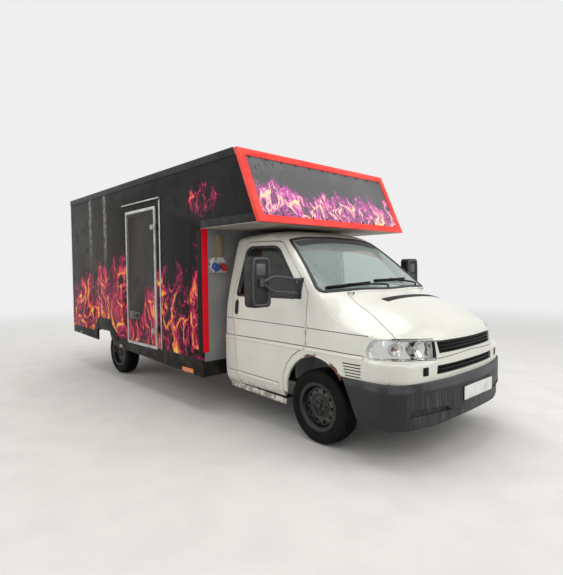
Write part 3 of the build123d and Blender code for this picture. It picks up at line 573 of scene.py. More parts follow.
def paint_cab(finish):
    """Off-white with faint mottling, dirt near the ground and rust at the front arches."""
    mottle = finish.fade(finish.noise(2.2, 6.0), 0.35, 0.7)
    paint = finish.mix(mottle, (0.715, 0.708, 0.632), (0.665, 0.655, 0.578))
    spots = finish.fade(finish.noise(20.0, 7.0), 0.40, 0.60)
    dirt = finish.times(finish.fade(finish.axes["Z"], 0.45, 0.29), spots)
    runs = finish.fade(finish.noise(1.0, 5.0, finish.place((34, 34, 1.5))), 0.50, 0.80)
    dusty = finish.times(finish.fade(finish.axes["Z"], 0.9, 0.4), runs)
    paint = finish.mix(finish.times(dusty, 0.10), paint, (0.34, 0.31, 0.25))
    paint = finish.mix(finish.times(dirt, 0.78), paint, (0.17, 0.13, 0.09))
    forward = finish.math("SUBTRACT", finish.axes["X"], axle_x)
    upward = finish.math("SUBTRACT", finish.axes["Z"], arch_height)
    ragged = finish.times(finish.noise(16.0, 6.0), 0.10)
    lip = finish.fade(finish.math("SUBTRACT", finish.reach(forward, upward), ragged), *rust_ring)
    outer = finish.fade(finish.math("ABSOLUTE", finish.axes["Y"]), 0.86, 0.88)
    worst = 0.0
    for rust_x, reach in rust_places:
        near = finish.fade(finish.away(forward, rust_x), reach + 0.03, reach - 0.02)
        worst = finish.larger(worst, near)
    rust = finish.times(finish.times(lip, outer), finish.fade(worst, 0.0, 1.0))
    rust_grain = finish.fade(finish.noise(70.0, 4.0), 0.4, 0.6)
    rust_colour = finish.mix(rust_grain, (0.20, 0.062, 0.018), (0.06, 0.022, 0.01))
    finish.set("Base Color", finish.mix(rust, paint, rust_colour))
    finish.dulled(finish.larger(rust, dirt), 0.34, 0.8)
    waves = finish.times(finish.noise(1.6, 3.0), 0.35)
    finish.bump(finish.plus(waves, finish.times(finish.noise(150.0, 3.0), rust)), 0.004, 0.55)


paint_cab(cab_paint)

# Columns: x from the front axle, then (y, z) of sill, lower side, ledge, lamp foot, belt,
# shoulder, rail, brow and crown, and the height on the centre line, all in millimetres.
cab_sections = [
    (-1270, (860, 330), (915, 430), (920, 815), (912, 840), (905, 1020), (880, 1240),
     (745, 1785), (690, 1862), (450, 1915), 1930),
    (-950, (860, 328), (915, 430), (920, 815), (912, 840), (905, 1020), (880, 1242),
     (748, 1792), (694, 1870), (450, 1916), 1929),
    (-620, (860, 322), (915, 430), (920, 815), (912, 840), (905, 1018), (880, 1245),
     (745, 1795), (692, 1855), (430, 1884), 1892),
    (0, (860, 310), (916, 430), (921, 815), (914, 840), (908, 1010), (892, 1215),
     (866, 1310), (720, 1364), (400, 1418), 1440),
    (200, (860, 300), (916, 430), (922, 812), (913, 835), (905, 1000), (868, 1085),
     (780, 1170), (622, 1242), (400, 1287), 1300),
    (420, (860, 300), (916, 430), (922, 806), (912, 830), (902, 990), (876, 1028),
     (795, 1086), (672, 1148), (420, 1230), 1253),
    (620, (850, 300), (912, 430), (915, 795), (880, 822), (858, 975), (838, 989),
     (792, 1004), (727, 1034), (460, 1152), 1186),
    (740, (830, 310), (880, 430), (888, 790), (762, 818), (735, 968), (715, 980),
     (694, 990), (650, 1018), (420, 1102), 1130),
    (840, (730, 320), (770, 430), (785, 785), (600, 812), (560, 955), (540, 968),
     (518, 980), (480, 1000), (340, 1046), 1066),
    (900, (480, 330), (505, 430), (515, 780), (480, 806), (440, 942), (420, 956),
     (390, 970), (350, 982), (250, 1000), 1006),
    (932, (210, 340), (230, 430), (240, 778), (225, 803), (200, 905), (185, 922),
     (160, 933), (130, 940), (70, 946), 948),
]
creased_columns = (2, 3, 15, 16)
steps_between = 6


def section_points(row):
    """One section as points from the right sill over the roof to the left sill."""
    x, *half, centre_z = row
    ring = [(-y, z) for y, z in half] + [(0, centre_z)] + [(y, z) for y, z in reversed(half)]
    return [Vector((axle_x + x / 1000, y / 1000, z / 1000)) for y, z in ring]


def soft_weight(distance):
    """How much a control point counts at a distance of up to two steps: a soft cubic filter."""
    d = abs(distance)
    if d < 1:
        return (7 * d ** 3 - 12 * d ** 2 + 16 / 3) / 6
    return (-7 / 3 * d ** 3 + 12 * d ** 2 - 20 * d + 32 / 3) / 6


def filled_in(points, creases, soft):
    """Points with steps_between new ones in each gap, on straight lines or on a soft curve."""
    line = []
    for n in range(len(points) - 1):
        start, end = points[n], points[n + 1]
        before = points[n - 1] if n > 0 and n not in creases else start * 2 - end
        after = points[n + 2] if n + 2 < len(points) and n + 1 not in creases else end * 2 - start
        for step in range(steps_between):
            t = step / steps_between
            if soft:
                line.append(before * soft_weight(1 + t) + start * soft_weight(t)
                            + end * soft_weight(1 - t) + after * soft_weight(2 - t))
            else:
                line.append(start.lerp(end, t))
    return line + [points[-1]]


def cab_surface(soft):
    """The cab's outer form, closed over its nose, as grid points and triangles, flat or soft."""
    rows = [filled_in(section_points(row), creased_columns, soft) for row in cab_sections]
    columns = []
    for n in range(len(rows[0]) // 2 + 1):
        right_line = [row[n] for row in rows]
        left_line = [row[-1 - n] for row in rows]
        columns.append(filled_in(right_line + left_line[::-1], (), soft))
    points = [point for column in columns for point in column]
    deep = len(columns[0])
    triangles = []
    for c in range(len(columns) - 1):
        for r in range(deep - 1):
            a, b = c * deep + r, c * deep + r + 1
            triangles += [(a, b, b + deep), (a, b + deep, a + deep)]
    return points, triangles


flat_points, cab_triangles = cab_surface(soft=False)
soft_points, _ = cab_surface(soft=True)
flat_cab = BVHTree.FromPolygons(flat_points, cab_triangles)
soft_cab = BVHTree.FromPolygons(soft_points, cab_triangles)
shifts = [soft_cab.find_nearest(point)[0] - point for point in flat_points]
shift_reach = (0.07, 0.20)


def gridded(form, spacing):
    """Cuts a form along planes at even steps, so that it can be bent smoothly."""
    for axis in range(3):
        places = [vertex.co[axis] for vertex in form.verts]
        normal = Vector((0, 0, 0))
        normal[axis] = 1
        for step in range(math.ceil(min(places) / spacing), math.floor(max(places) / spacing) + 1):
            geometry = form.verts[:] + form.edges[:] + form.faces[:]
            bmesh.ops.bisect_plane(form, geom=geometry, dist=1e-5, plane_co=normal * step * spacing,
                                   plane_no=normal)


def softened(form):
    """Moves a cab panel from the flat sections' form to the soft one, less so far inside."""
    for vertex in form.verts:
        spot, _, number, gap = flat_cab.find_nearest(vertex.co)
        corners = cab_triangles[number]
        weights = poly_3d_calc([flat_points[n] for n in corners], spot)
        near = 1 - min(max((gap - shift_reach[0]) / (shift_reach[1] - shift_reach[0]), 0), 1)
        for n, weight in zip(corners, weights):
            vertex.co += shifts[n] * weight * near


def bent_form(node, spacing):
    """A cab panel's CAD node, bent to the soft form."""
    form = merged(node)
    gridded(form, spacing)
    softened(form)
    return form


def cab_panel(node, finish, slot, spacing=0.05, choose=None):
    """Shows a cab panel, bent to the soft form."""
    form = bent_form(node, spacing)
    if choose:
        painted_by(form, choose)
    made = smoothed(piece_from(form, node + "_panel", finish, body_of[node], slot), 28)
    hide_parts(node)


def depth_in_cab(middle):
    """How far a place lies from the cab's soft outer form."""
    return soft_cab.find_nearest(middle)[3]


cabin_trim = Finish("cabin_trim", (0.34, 0.35, 0.34), 0.7)
cabin_trim.grained(500.0, 2.0, 0.0006, 0.5)
gill_x, gill_z = (0.30, 0.50), (0.655, 0.775)
cab_foot_z = 0.34
floor_top_z = 0.47


def shell_finish(middle, normal):
    """Paint outside, trim inside the cab, and black under it and in the wings' gills."""
    gap = depth_in_cab(middle)
    in_gills = gill_x[0] < middle.x - axle_x < gill_x[1] and gill_z[0] < middle.z < gill_z[1]
    if in_gills and gap > 0.003:
        return 2
    if gap < 0.026 and middle.z > cab_foot_z:
        return 0
    if middle.z < floor_top_z or middle.x > axle_x - 0.02:
        return 2
    return 1


cab_panel("cab_shell", [cab_paint, cabin_trim, chassis_black], "cab_paint", 0.06, shell_finish)


def on_cab(x, z, side):
    """The point on the cab's side at a place seen square on, and the way out of the surface."""
    spot, normal, _, _ = soft_cab.ray_cast(Vector((x, side * 2, z)), Vector((0, -side, 0)))
    return spot, normal if normal.y * side > 0 else -normal


def on_nose(y, z):
    """The point on the cab's front at a place seen from ahead, and the way out of the surface."""
    spot, normal, _, _ = soft_cab.ray_cast(Vector((5, y, z)), Vector((-1, 0, 0)))
    return spot, normal if normal.x > 0 else -normal


def on_hood(x, y):
    """The point on the cab's top at a place seen from above, and the way out of the surface."""
    spot, normal, _, _ = soft_cab.ray_cast(Vector((x, y, 3)), Vector((0, 0, -1)))
    return spot, normal if normal.z > 0 else -normal


def facing_x(outline, x, facing):
    """Points (y, z) on an upright plane across the truck, with the way they face."""
    return [(Vector((x, y, z)), Vector((facing, 0, 0))) for y, z in outline]


def facing_y(outline, y, facing):
    """Points (x, z) on an upright plane along the truck, with the way they face."""
    return [(Vector((x, y, z)), Vector((0, facing, 0))) for x, z in outline]


def raised(spots, height):
    """Points with their normals, moved out along them."""
    return [(spot + normal * height, normal) for spot, normal in spots]


def between(start, end, steps):
    """Evenly spaced pairs of numbers from start to end."""
    return [(start[0] + (end[0] - start[0]) * n / steps, start[1] + (end[1] - start[1]) * n / steps)
            for n in range(steps + 1)]


def rectangle(low_a, low_b, high_a, high_b):
    return [(low_a, low_b), (high_a, low_b), (high_a, high_b), (low_a, high_b)]


def rounded(outline, radius, spacing=0.03):
    """A closed outline with each corner turned by an arc, as evenly spaced points."""
    points = []
    for n, corner in enumerate(outline):
        corner = Vector(corner)
        before = Vector(outline[n - 1]) - corner
        after = Vector(outline[(n + 1) % len(outline)]) - corner
        reach = min(radius, before.length * 0.45, after.length * 0.45)
        start, end = corner + before.normalized() * reach, corner + after.normalized() * reach
        for step in range(7):
            t = step / 6
            points.append(start * (1 - t) ** 2 + corner * 2 * t * (1 - t) + end * t ** 2)
    line = []
    for start, end in zip(points, points[1:] + points[:1]):
        pieces = max(1, round((end - start).length / spacing))
        line += [start.lerp(end, step / pieces) for step in range(pieces)]
    return line


def ellipse(middle, half_wide, half_high, power=2.0, count=32):
    """Points round an oval, squarer as the power rises."""
    points = []
    for n in range(count):
        angle = 2 * math.pi * n / count
        c, s = math.cos(angle), math.sin(angle)
        points.append((middle[0] + half_wide * math.copysign(abs(c) ** (2 / power), c),
                       middle[1] + half_high * math.copysign(abs(s) ** (2 / power), s)))
    return points


def joined_rings(form, rings, round_ring, ends):
    """Faces between rings of vertices, with the first and the last ring filled where they are ends."""
    for first, second in rings:
        for n in range(round_ring):
            form.faces.new((first[n], first[(n + 1) % round_ring], second[(n + 1) % round_ring], second[n]))
    for ring in ends:
        form.faces.new(ring)
    bmesh.ops.recalc_face_normals(form, faces=form.faces)


# Columns: share of the width across, share of the height out
band_profile = [(-0.5, -0.6), (-0.5, 0.35), (-0.36, 0.8), (0, 1), (0.36, 0.8), (0.5, 0.35), (0.5, -0.6)]


def band(name, spots, width, height, finish, body, slot, closed=True):
    """A low strip of rubber, trim or metal along points on a surface, with its edges turned down."""
    form = bmesh.new()
    rings = []
    count = len(spots)
    for n, (spot, normal) in enumerate(spots):
        ahead = spots[(n + 1) % count][0] if closed or n + 1 < count else spot
        behind = spots[n - 1][0] if closed or n > 0 else spot
        sideways = normal.cross(ahead - behind).normalized()
        rings.append([form.verts.new(spot + sideways * across * width + normal * out * height)
                      for across, out in band_profile])
    pairs = list(zip(rings, rings[1:] + rings[:1])) if closed else list(zip(rings, rings[1:]))
    joined_rings(form, pairs, len(band_profile), [] if closed else [rings[0], rings[-1]])
    smoothed(piece_from(form, name, finish, body, slot), 50)


def patch(name, spots, height, finish, body, slot, foot=0.004):
    """A thin closed plate on a surface, from the spots round its edge, with a turned rim."""
    form = bmesh.new()
    middle = sum((spot for spot, _ in spots), Vector()) / len(spots)
    rings = []
    for shrink, out in ((0, -foot), (0, height * 0.6), (0.003, height)):
        rings.append([form.verts.new(spot + normal * out + (middle - spot).normalized() * shrink)
                      for spot, normal in spots])
    joined_rings(form, list(zip(rings, rings[1:])), len(spots), [rings[0], rings[-1]])
    smoothed(piece_from(form, name, finish, body, slot), 40)


rubber = Finish("rubber_seal", (0.012, 0.012, 0.013), 0.55)
rubber.grained(300.0, 2.0, 0.0004, 0.4)
hands = ((-1, "right"), (1, "left"))
lip_radius = 0.357
for side, hand in hands:
    lip_angles = [math.radians(184 - 5.05 * step) for step in range(30)]
    lip_points = [on_cab(axle_x + lip_radius * math.cos(angle), arch_height + lip_radius * math.sin(angle),
                         side) for angle in lip_angles]
    band("arch_lip_" + hand, lip_points, 0.016, 0.006, cab_paint, "truck", "cab_paint", closed=False)

# Thin dark lines along the belt, the ledge and the lower crease, and under the grille: painted shade in the
# body's creases.
crease_painted_shade = Finish("body_crease_painted_shade", (0.055, 0.050, 0.040), 0.7)
crease_painted_shade.grained(300.0, 2.0, 0.0003, 0.3)
crease_line_width, crease_line_height = 0.0065, 0.0008
bead_drop, bead_width, bead_height = 0.021, 0.036, 0.011
gap_depth = 0.008
nose_joint_x = 0.5585
door_outline = [(-0.112, 0.830), (-0.110, 1.300), (-0.178, 1.392), (-0.560, 1.768), (-0.620, 1.792),
                (-1.095, 1.800), (-1.185, 1.245), (-1.160, 1.010), (-1.113, 0.843), (-1.072, 0.350),
                (-0.405, 0.345), (-0.395, 0.560), (-0.345, 0.660), (-0.270, 0.745), (-0.190, 0.800)]
# Columns: name, start (x, z), end (x, z), whether it is on the door
side_lines = [("belt_pillar", (-1.262, 1.021), (-1.172, 1.020), False),
              ("belt_door", (-1.155, 1.020), (-0.118, 1.008), True),
              ("belt_wing", (-0.104, 1.008), (0.535, 0.993), False),
              ("ledge_pillar", (-1.262, 0.846), (-1.124, 0.846), False),
              ("ledge_door", (-1.106, 0.846), (-0.118, 0.846), True),
              ("ledge_wing", (-0.104, 0.846), (0.510, 0.838), False),
              ("crease_pillar", (-1.245, 0.484), (-1.092, 0.481), False),
              ("crease_door", (-1.076, 0.481), (-0.455, 0.465), True)]


def side_strip(name, start, end, width, height, finish, side, body):
    """A narrow straight strip along the cab's side, seen square on."""
    steps = max(3, round((end[0] - start[0]) / 0.04))
    spots = [on_cab(axle_x + x, z, side) for x, z in between(start, end, steps)]
    band(name, spots, width, height, finish, body, "cab_paint", closed=False)


for side, hand in hands:
    for name, start, end, on_door in side_lines:
        body = "cab_door_" + hand if on_door else "truck"
        side_strip(f"side_{name}_{hand}", start, end, crease_line_width, crease_line_height, crease_painted_shade, side, body)
        if not name.startswith("belt"):
            low_start, low_end = (start[0], start[1] - bead_drop), (end[0], end[1] - bead_drop)
            side_strip(f"side_bead_{name}_{hand}", low_start, low_end, bead_width, bead_height, cab_paint,
                       side, body)
    gap_line = [on_cab(axle_x + x, z, side) for x, z in rounded(door_outline, 0.02)]
    band("door_gap_strip_" + hand, raised(gap_line, -gap_depth), 0.014, 0.001, rubber, "truck", "black_trim")
    joint_low = [on_cab(axle_x + nose_joint_x, 0.640 + 0.020 * n, side) for n in range(9)]
    joint_high = [on_hood(axle_x + nose_joint_x, side * (0.750 + 0.015 * n)) for n in range(8)]
    for name, spots in (("low", joint_low), ("high", joint_high)):
        band(f"nose_joint_{name}_{hand}", spots, 0.012, 0.0012, cab_paint, "truck", "cab_paint", closed=False)
    flange = between((axle_x - 1.25, 0.318), (axle_x - 0.40, 0.288), 12)
    band("sill_flange_" + hand, facing_y(flange, side * 0.866, side), 0.052, 0.003, cab_paint, "truck",
         "cab_paint", closed=False)

# Cab doors
# Each front door is one pressed steel shell hung on two pins, with a fixed window in a black
# rubber frame and a black oval pull at its rear edge.
window_outline = [(-0.250, 1.262), (-0.275, 1.380), (-0.590, 1.712), (-0.660, 1.742), (-1.035, 1.748),
                  (-1.085, 1.715), (-1.128, 1.280), (-1.110, 1.255)]
corner_outline = [(-0.255, 1.252), (-0.182, 1.252), (-0.186, 1.300), (-0.292, 1.425)]
pull_x, pull_z = -1.105, 1.135
pull_height = 0.010
door_skin = 0.033
glass = Finish("window_glass", (0.40, 0.41, 0.38), 0.02, Transmission_Weight=1.0, IOR=1.18)
screen_glass = Finish("windscreen_glass", (0.70, 0.80, 0.765), 0.04, Transmission_Weight=0.80, IOR=1.24)
pull_black = Finish("handle_black", (0.014, 0.014, 0.015), 0.42)
pull_black.grained(420.0, 2.0, 0.0005, 0.5)


def door_finish(middle, normal):
    """Paint on the outside skin, trim on the face inside the cab, black on the pull's raised base."""
    spot, _, _, gap = soft_cab.find_nearest(middle)
    if middle.z > 1.04 and abs(middle.y) > abs(spot.y) + 0.001:
        return 2
    return 0 if gap < door_skin else 1


for side, hand in hands:
    body = "cab_door_" + hand
    cab_panel("cab_door_" + hand, [cab_paint, cabin_trim, pull_black], "cab_paint", 0.05, door_finish)
    cab_panel("door_glass_" + hand, glass, "glass", 0.06)
    seal = [on_cab(axle_x + x, z, side) for x, z in rounded(window_outline, 0.03)]
    band("window_seal_" + hand, seal, 0.024, 0.006, rubber, body, "black_trim")
    corner = [on_cab(axle_x + x, z, side) for x, z in rounded(corner_outline, 0.012)]
    patch("window_corner_plate_" + hand, corner, 0.0055, rubber, body, "black_trim")
    pull = [on_cab(x, z, side) for x, z in ellipse((axle_x + pull_x, pull_z), 0.026, 0.075, 3.0)]
    patch("door_pull_" + hand, pull, pull_height, pull_black, body, "black_trim")
    grip = [on_cab(x, z, side) for x, z in ellipse((axle_x + pull_x + 0.004, pull_z), 0.011, 0.055, 3.0)]
    patch("door_grip_" + hand, raised(grip, pull_height), 0.008, pull_black, body, "black_trim", 0.002)

# Windscreen
# Laminated glass bonded in a wide black rubber surround, with a dark shade print along its
# head and two wipers of black steel and rubber parked along its foot.
windscreen_outline = [(-0.845, 1.320), (-0.640, 1.327), (-0.400, 1.335), (0, 1.327), (0.400, 1.335),
                      (0.640, 1.327), (0.845, 1.320), (0.676, 1.760), (0.650, 1.806), (0.430, 1.838),
                      (0, 1.850), (-0.430, 1.838), (-0.650, 1.806), (-0.676, 1.760)]
cab_panel("windscreen", screen_glass, "glass", 0.06)
screen_line = [on_nose(y, z) for y, z in rounded(windscreen_outline, 0.06)]
band("windscreen_seal", screen_line, 0.032, 0.006, rubber, "truck", "black_trim")
shade_print = Finish("shade_print", (0.085, 0.080, 0.090), 0.2)
shade_half, shade_z, shade_sag = 0.62, 1.812, 0.0465
shade_line = [on_nose(y, shade_z - shade_sag * (y / shade_half) ** 2)
              for y, _ in between((-shade_half, 0), (shade_half, 0), 24)]
band("windscreen_shade", shade_line, 0.080, 0.0008, shade_print, "truck", "black_trim", closed=False)
wiper_black = Finish("wiper_black", (0.004, 0.004, 0.004), 0.5, Specular_IOR_Level=0.12)


def pipe(name, points, radius, finish, body, slot, smooth=True):
    """A round bar along points, as a closed mesh."""
    curve = bpy.data.curves.new(name, "CURVE")
    curve.dimensions = "3D"
    curve.bevel_depth = radius
    curve.bevel_resolution = 6
    curve.use_fill_caps = True
    spline = curve.splines.new("NURBS" if smooth else "POLY")
    spline.points.add(len(points) - 1)
    for spot, point in zip(spline.points, points):
        spot.co = (*point, 1)
    if smooth:
        spline.order_u = 3
        spline.use_endpoint_u = True
    made = bpy.data.objects.new(name, curve)
    bpy.context.scene.collection.objects.link(made)
    depsgraph = bpy.context.evaluated_depsgraph_get()
    mesh = bpy.data.meshes.new_from_object(made.evaluated_get(depsgraph))
    bpy.data.objects.remove(made)
    form = bmesh.new()
    form.from_mesh(mesh)
    bmesh.ops.remove_doubles(form, verts=form.verts, dist=1e-6)
    bmesh.ops.recalc_face_normals(form, faces=form.faces)
    smoothed(piece_from(form, name, finish, body, slot), 50)


# Columns: name, the blade's two ends (y, z), the arm's foot (y, z)
wipers = [("right", (-0.77, 1.346), (-0.24, 1.376), (-0.02, 1.338)),
          ("left", (-0.14, 1.392), (0.42, 1.398), (0.56, 1.338))]
blade_lift = 0.012
for hand, start, end, foot in wipers:
    blade = raised([on_nose(y, z) for y, z in between(start, end, 11)], blade_lift)
    band("wiper_blade_" + hand, blade, 0.022, 0.016, wiper_black, "truck", "black_trim", closed=False)
    middle, middle_normal = blade[5]
    root, root_normal = on_nose(*foot)
    bend = root.lerp(middle, 0.25) + root_normal * 0.035
    pipe("wiper_arm_" + hand, [root, root + root_normal * 0.03, bend, middle + middle_normal * 0.014],
         0.009, wiper_black, "truck", "black_trim")

# Hood
# A pressed steel lid hinged at the windscreen, with an air slot cut across it in front of the
# screen and closed by a black plastic grid.
slot_x, slot_y = (0.322, 0.358), (-0.400, 0.540)
slot_margin = 0.002
grid_x, grid_width = 0.360, 0.080
grid_overlap, bar_inset, bar_step = 0.004, 0.008, 0.020
hood_skin = 0.020


def hood_finish(middle, normal):
    """Paint on the outside skin, black under it and inside the air slot."""
    in_slot = (slot_x[0] - slot_margin < middle.x - axle_x < slot_x[1] + slot_margin
               and slot_y[0] - slot_margin < middle.y < slot_y[1] + slot_margin)
    return 0 if depth_in_cab(middle) < (0.001 if in_slot else hood_skin) else 1


def across_hood(x, inset):
    """Points across the hood at one x, from inset inside one end of the slot to the other."""
    ends = (slot_y[0] + inset, 0), (slot_y[1] - inset, 0)
    return [on_hood(axle_x + x, y) for y, _ in between(*ends, 40)]


cab_panel("hood", [cab_paint, chassis_black], "cab_paint", 0.04, hood_finish)
band("hood_air_grid", across_hood(grid_x, -grid_overlap), grid_width, 0.0022, wiper_black, "hood",
     "grille_black", closed=False)
for number in range(3):
    bar = across_hood(grid_x + (number - 1) * bar_step, bar_inset)
    band(f"hood_air_bar_{number}", bar, 0.006, 0.0045, rubber, "hood", "grille_black", closed=False)

# Nose
# The front panel under the hood line, painted with the cab, with a black slatted grille, a
# lower air inlet, five gills in each wing and square covers over the towing eyes.
nose_skin = 0.030
cab_panel("nose_panel", [cab_paint, chassis_black], "cab_paint", 0.04,
          lambda middle, normal: 0 if depth_in_cab(middle) < nose_skin else 1)
grille_black = Finish("grille_black", (0.005, 0.005, 0.006), 0.45, Specular_IOR_Level=0.15)
grille_black.grained(260.0, 2.0, 0.0005, 0.4)
cab_panel("grilles", grille_black, "grille_black", 0.04)
tow_y, tow_z = 0.620, 0.730
for side, hand in hands:
    for name, half_wide, half_high, height, finish, slot in (
            ("bevel", 0.041, 0.043, 0.003, cab_paint, "cab_paint"),
            ("cover", 0.032, 0.034, 0.0045, wiper_black, "grille_black")):
        outline = ellipse((side * tow_y, tow_z), half_wide, half_high, 9.0)
        patch(f"tow_{name}_{hand}", [on_nose(y, z) for y, z in outline], height, finish, "truck", slot)
# A thin dark line under the grille: painted shade in the crease that runs on from the ledge.
under_grille = [on_nose(y, 0.834 - 0.020 * abs(y) / 0.470) for y, _ in between((-0.470, 0), (0.470, 0), 24)]
band("nose_crease_painted_shade", under_grille, 0.0055, 0.0008, crease_painted_shade, "truck", "cab_paint", closed=False)

# Headlamps
# Clear ribbed lenses sealed to bright reflectors, each holding a round headlamp bowl and, at
# its outer end behind a dividing wall, the indicator.
lens = Finish("lamp_lens", (0.93, 0.94, 0.93), 0.04, Transmission_Weight=1.0, IOR=1.16,
              Specular_IOR_Level=0.8)
lens.ribbed("Y", 22.0, 0.0007, 0.4, 0.4)
reflector = Finish("lamp_reflector", (0.74, 0.73, 0.73), 0.22, Metallic=1.0)
reflector.ribbed("DIAGONAL", 6.0, 0.004, 0.45, 1.5)
amber = Finish("indicator_bulb", (0.42, 0.22, 0.13), 0.3)
lamp_wall, bowl_wall = 0.004, 0.002
lamp_z = 0.893
# Columns: name, y of the bowl, its depth back from the lens, its radius, how far it looks out,
# the bulb's finish
bowls = [("main", 0.605, 0.046, 0.066, 0.15, reflector), ("indicator", 0.765, 0.05, 0.05, 0.5, amber)]


def thickened(made, thickness):
    """Gives open faces a wall inwards."""
    wall = made.modifiers.new("wall", "SOLIDIFY")
    wall.thickness = thickness
    settle(made)
    return made


def lamp_part(name, outer, finish):
    """The outer or the other faces of both lamp bodies, given a wall inwards."""
    form = bent_form("headlights", 0.03)
    unwanted = [face for face in form.faces if is_outer(face) != outer]
    bmesh.ops.delete(form, geom=unwanted, context="FACES")
    return smoothed(thickened(piece_from(form, name, finish, "truck", "lamp_lens"), lamp_wall), 30)


def is_outer(face):
    _, normal, _, gap = soft_cab.find_nearest(face.calc_center_median())
    return gap < 0.004 and abs(face.normal.dot(normal)) > 0.8


lamp_glass = lamp_part("headlamp_lens", True, lens)
lamp_part("headlamp_reflector", False, reflector)
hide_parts("headlights")
for side, hand in hands:
    for name, y, back, radius, outward, bulb in bowls:
        spot, _ = on_nose(side * y, lamp_z)
        # Columns: depth behind the lens, distance out from the bowl's axis
        bowl_profile = [(-back, 0.0), (-back * 0.86, radius * 0.4), (-back * 0.55, radius * 0.75),
                        (-0.012, radius)]
        form = turned([(depth, 0, out) for depth, out in bowl_profile], (1, 0, 0), 40, closed=False)
        turn = Vector((1, 0, 0)).rotation_difference(Vector((0.9, side * outward, 0)))
        aim = Matrix.Translation(spot) @ turn.to_matrix().to_4x4()
        bmesh.ops.transform(form, matrix=aim, verts=form.verts)
        bowl = piece_from(form, f"headlamp_bowl_{name}_{hand}", reflector, "truck", "lamp_lens")
        smoothed(thickened(bowl, bowl_wall))
        axis = turn @ Vector((1, 0, 0))
        ends = [spot - axis * (back - 0.004), spot - axis * (back - 0.03)]
        pipe(f"headlamp_bulb_{name}_{hand}", ends, 0.010, bulb, "truck", "lamp_lens", smooth=False)

for side, hand in hands:
    end_bar = [(side * 0.488, 0.826), (side * 0.512, 0.824), (side * 0.512, 0.944), (side * 0.494, 0.946)]
    end_spots = [on_nose(y, z) for y, z in rounded(end_bar, 0.004)]
    patch("headlamp_end_" + hand, end_spots, 0.0014, wiper_black, "truck", "black_trim")
    wall_line = [on_nose(side * y, z) for y, z in between((0.755, 0.836), (0.743, 0.961), 8)]
    band("headlamp_divider_" + hand, wall_line, 0.006, 0.0012, reflector, "truck", "lamp_lens", closed=False)
    for name, start, end in (("foot", (0.486, 0.806), (0.812, 0.815)),
                             ("top", (0.490, 0.966), (0.790, 0.978))):
        gasket = [on_nose(side * y, z) for y, z in between(start, end, 14)]
        band(f"headlamp_gasket_{name}_{hand}", gasket, 0.008, 0.001, rubber, "truck", "black_trim",
             closed=False)

# Bumper
# One thick moulding of unpainted plastic, faded and scuffed by the road, with a painted highlight
# along its top edge and a blank number plate on a black carrier at its front.
bumper_front, bumper_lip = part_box("front_bumper")[1].x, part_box("front_bumper")[1].z
bumper_plastic = Finish("bumper_plastic", Specular_IOR_Level=0.35)
scuff = bumper_plastic.noise(1.0, 7.0, bumper_plastic.place((60, 60, 4.0)))
fading = bumper_plastic.fade(bumper_plastic.noise(3.0, 5.0), 0.35, 0.7)
faded = bumper_plastic.mix(fading, (0.013, 0.0135, 0.0155), (0.026, 0.027, 0.031))
brushed_low = bumper_plastic.fade(bumper_plastic.axes["Z"], 0.62, 0.50)
brushed_front = bumper_plastic.fade(bumper_plastic.axes["X"], axle_x + 0.78, axle_x + 0.90)
scuffs_and_painted_highlight = bumper_plastic.times(bumper_plastic.fade(scuff, 0.44, 0.76),
                            bumper_plastic.times(brushed_low, brushed_front))
# A paler band along the top edge: a painted highlight.
near_lip = bumper_plastic.fade(bumper_plastic.axes["Z"], bumper_lip - 0.075, bumper_lip - 0.045)
lip_painted_highlight = bumper_plastic.times(near_lip, bumper_plastic.fade(bumper_plastic.noise(5.0, 4.0), 0.30, 0.60))
scuffs_and_painted_highlight = bumper_plastic.larger(scuffs_and_painted_highlight, bumper_plastic.times(lip_painted_highlight, 0.75))
bumper_plastic.set("Base Color", bumper_plastic.mix(scuffs_and_painted_highlight, faded, (0.075, 0.078, 0.084)))
bumper_plastic.dulled(fading, 0.5, 0.72)
bumper_plastic.grained(380.0, 3.0, 0.0008, 0.5)
dress("front_bumper", bumper_plastic, "bumper_plastic", 0.014, 4)
plate_white = Finish("plate_white", roughness=0.35)
plate_white.blotched(9.0, 5.0, 0.45, 0.8, (0.76, 0.77, 0.76), (0.55, 0.53, 0.49))
plate_half_wide, plate_half_high = 0.26, 0.055
rim_inset = 0.010
plate_setback = 0.030


def around(middle_y, middle_z, grow, radius):
    """A number plate's rounded outline, grown or shrunk on all sides."""
    half_wide, half_high = plate_half_wide + grow, plate_half_high + grow
    corners = rectangle(middle_y - half_wide, middle_z - half_high,
                        middle_y + half_wide, middle_z + half_high)
    return rounded(corners, radius)


def plate(name, middle_y, middle_z, front_x, facing):
    """A blank pressed plate with a raised rim on a black carrier."""
    for suffix, grow, depth, foot, finish, slot in (
            ("carrier", 0.006, 0.002, plate_setback, pull_black, "black_trim"),
            ("sheet", 0.0, 0.004, 0.0, plate_white, "aluminium_trim")):
        spots = facing_x(around(middle_y, middle_z, grow, 0.010), front_x, facing)
        patch(f"{name}_{suffix}", spots, depth, finish, "truck", slot, foot)
    rim = facing_x(around(middle_y, middle_z, -rim_inset, 0.012), front_x + facing * 0.0035, facing)
    band(name + "_rim", rim, 0.004, 0.0012, plate_white, "truck", "aluminium_trim")


plate("front_plate", 0.06, 0.505, bumper_front - 0.001, 1)

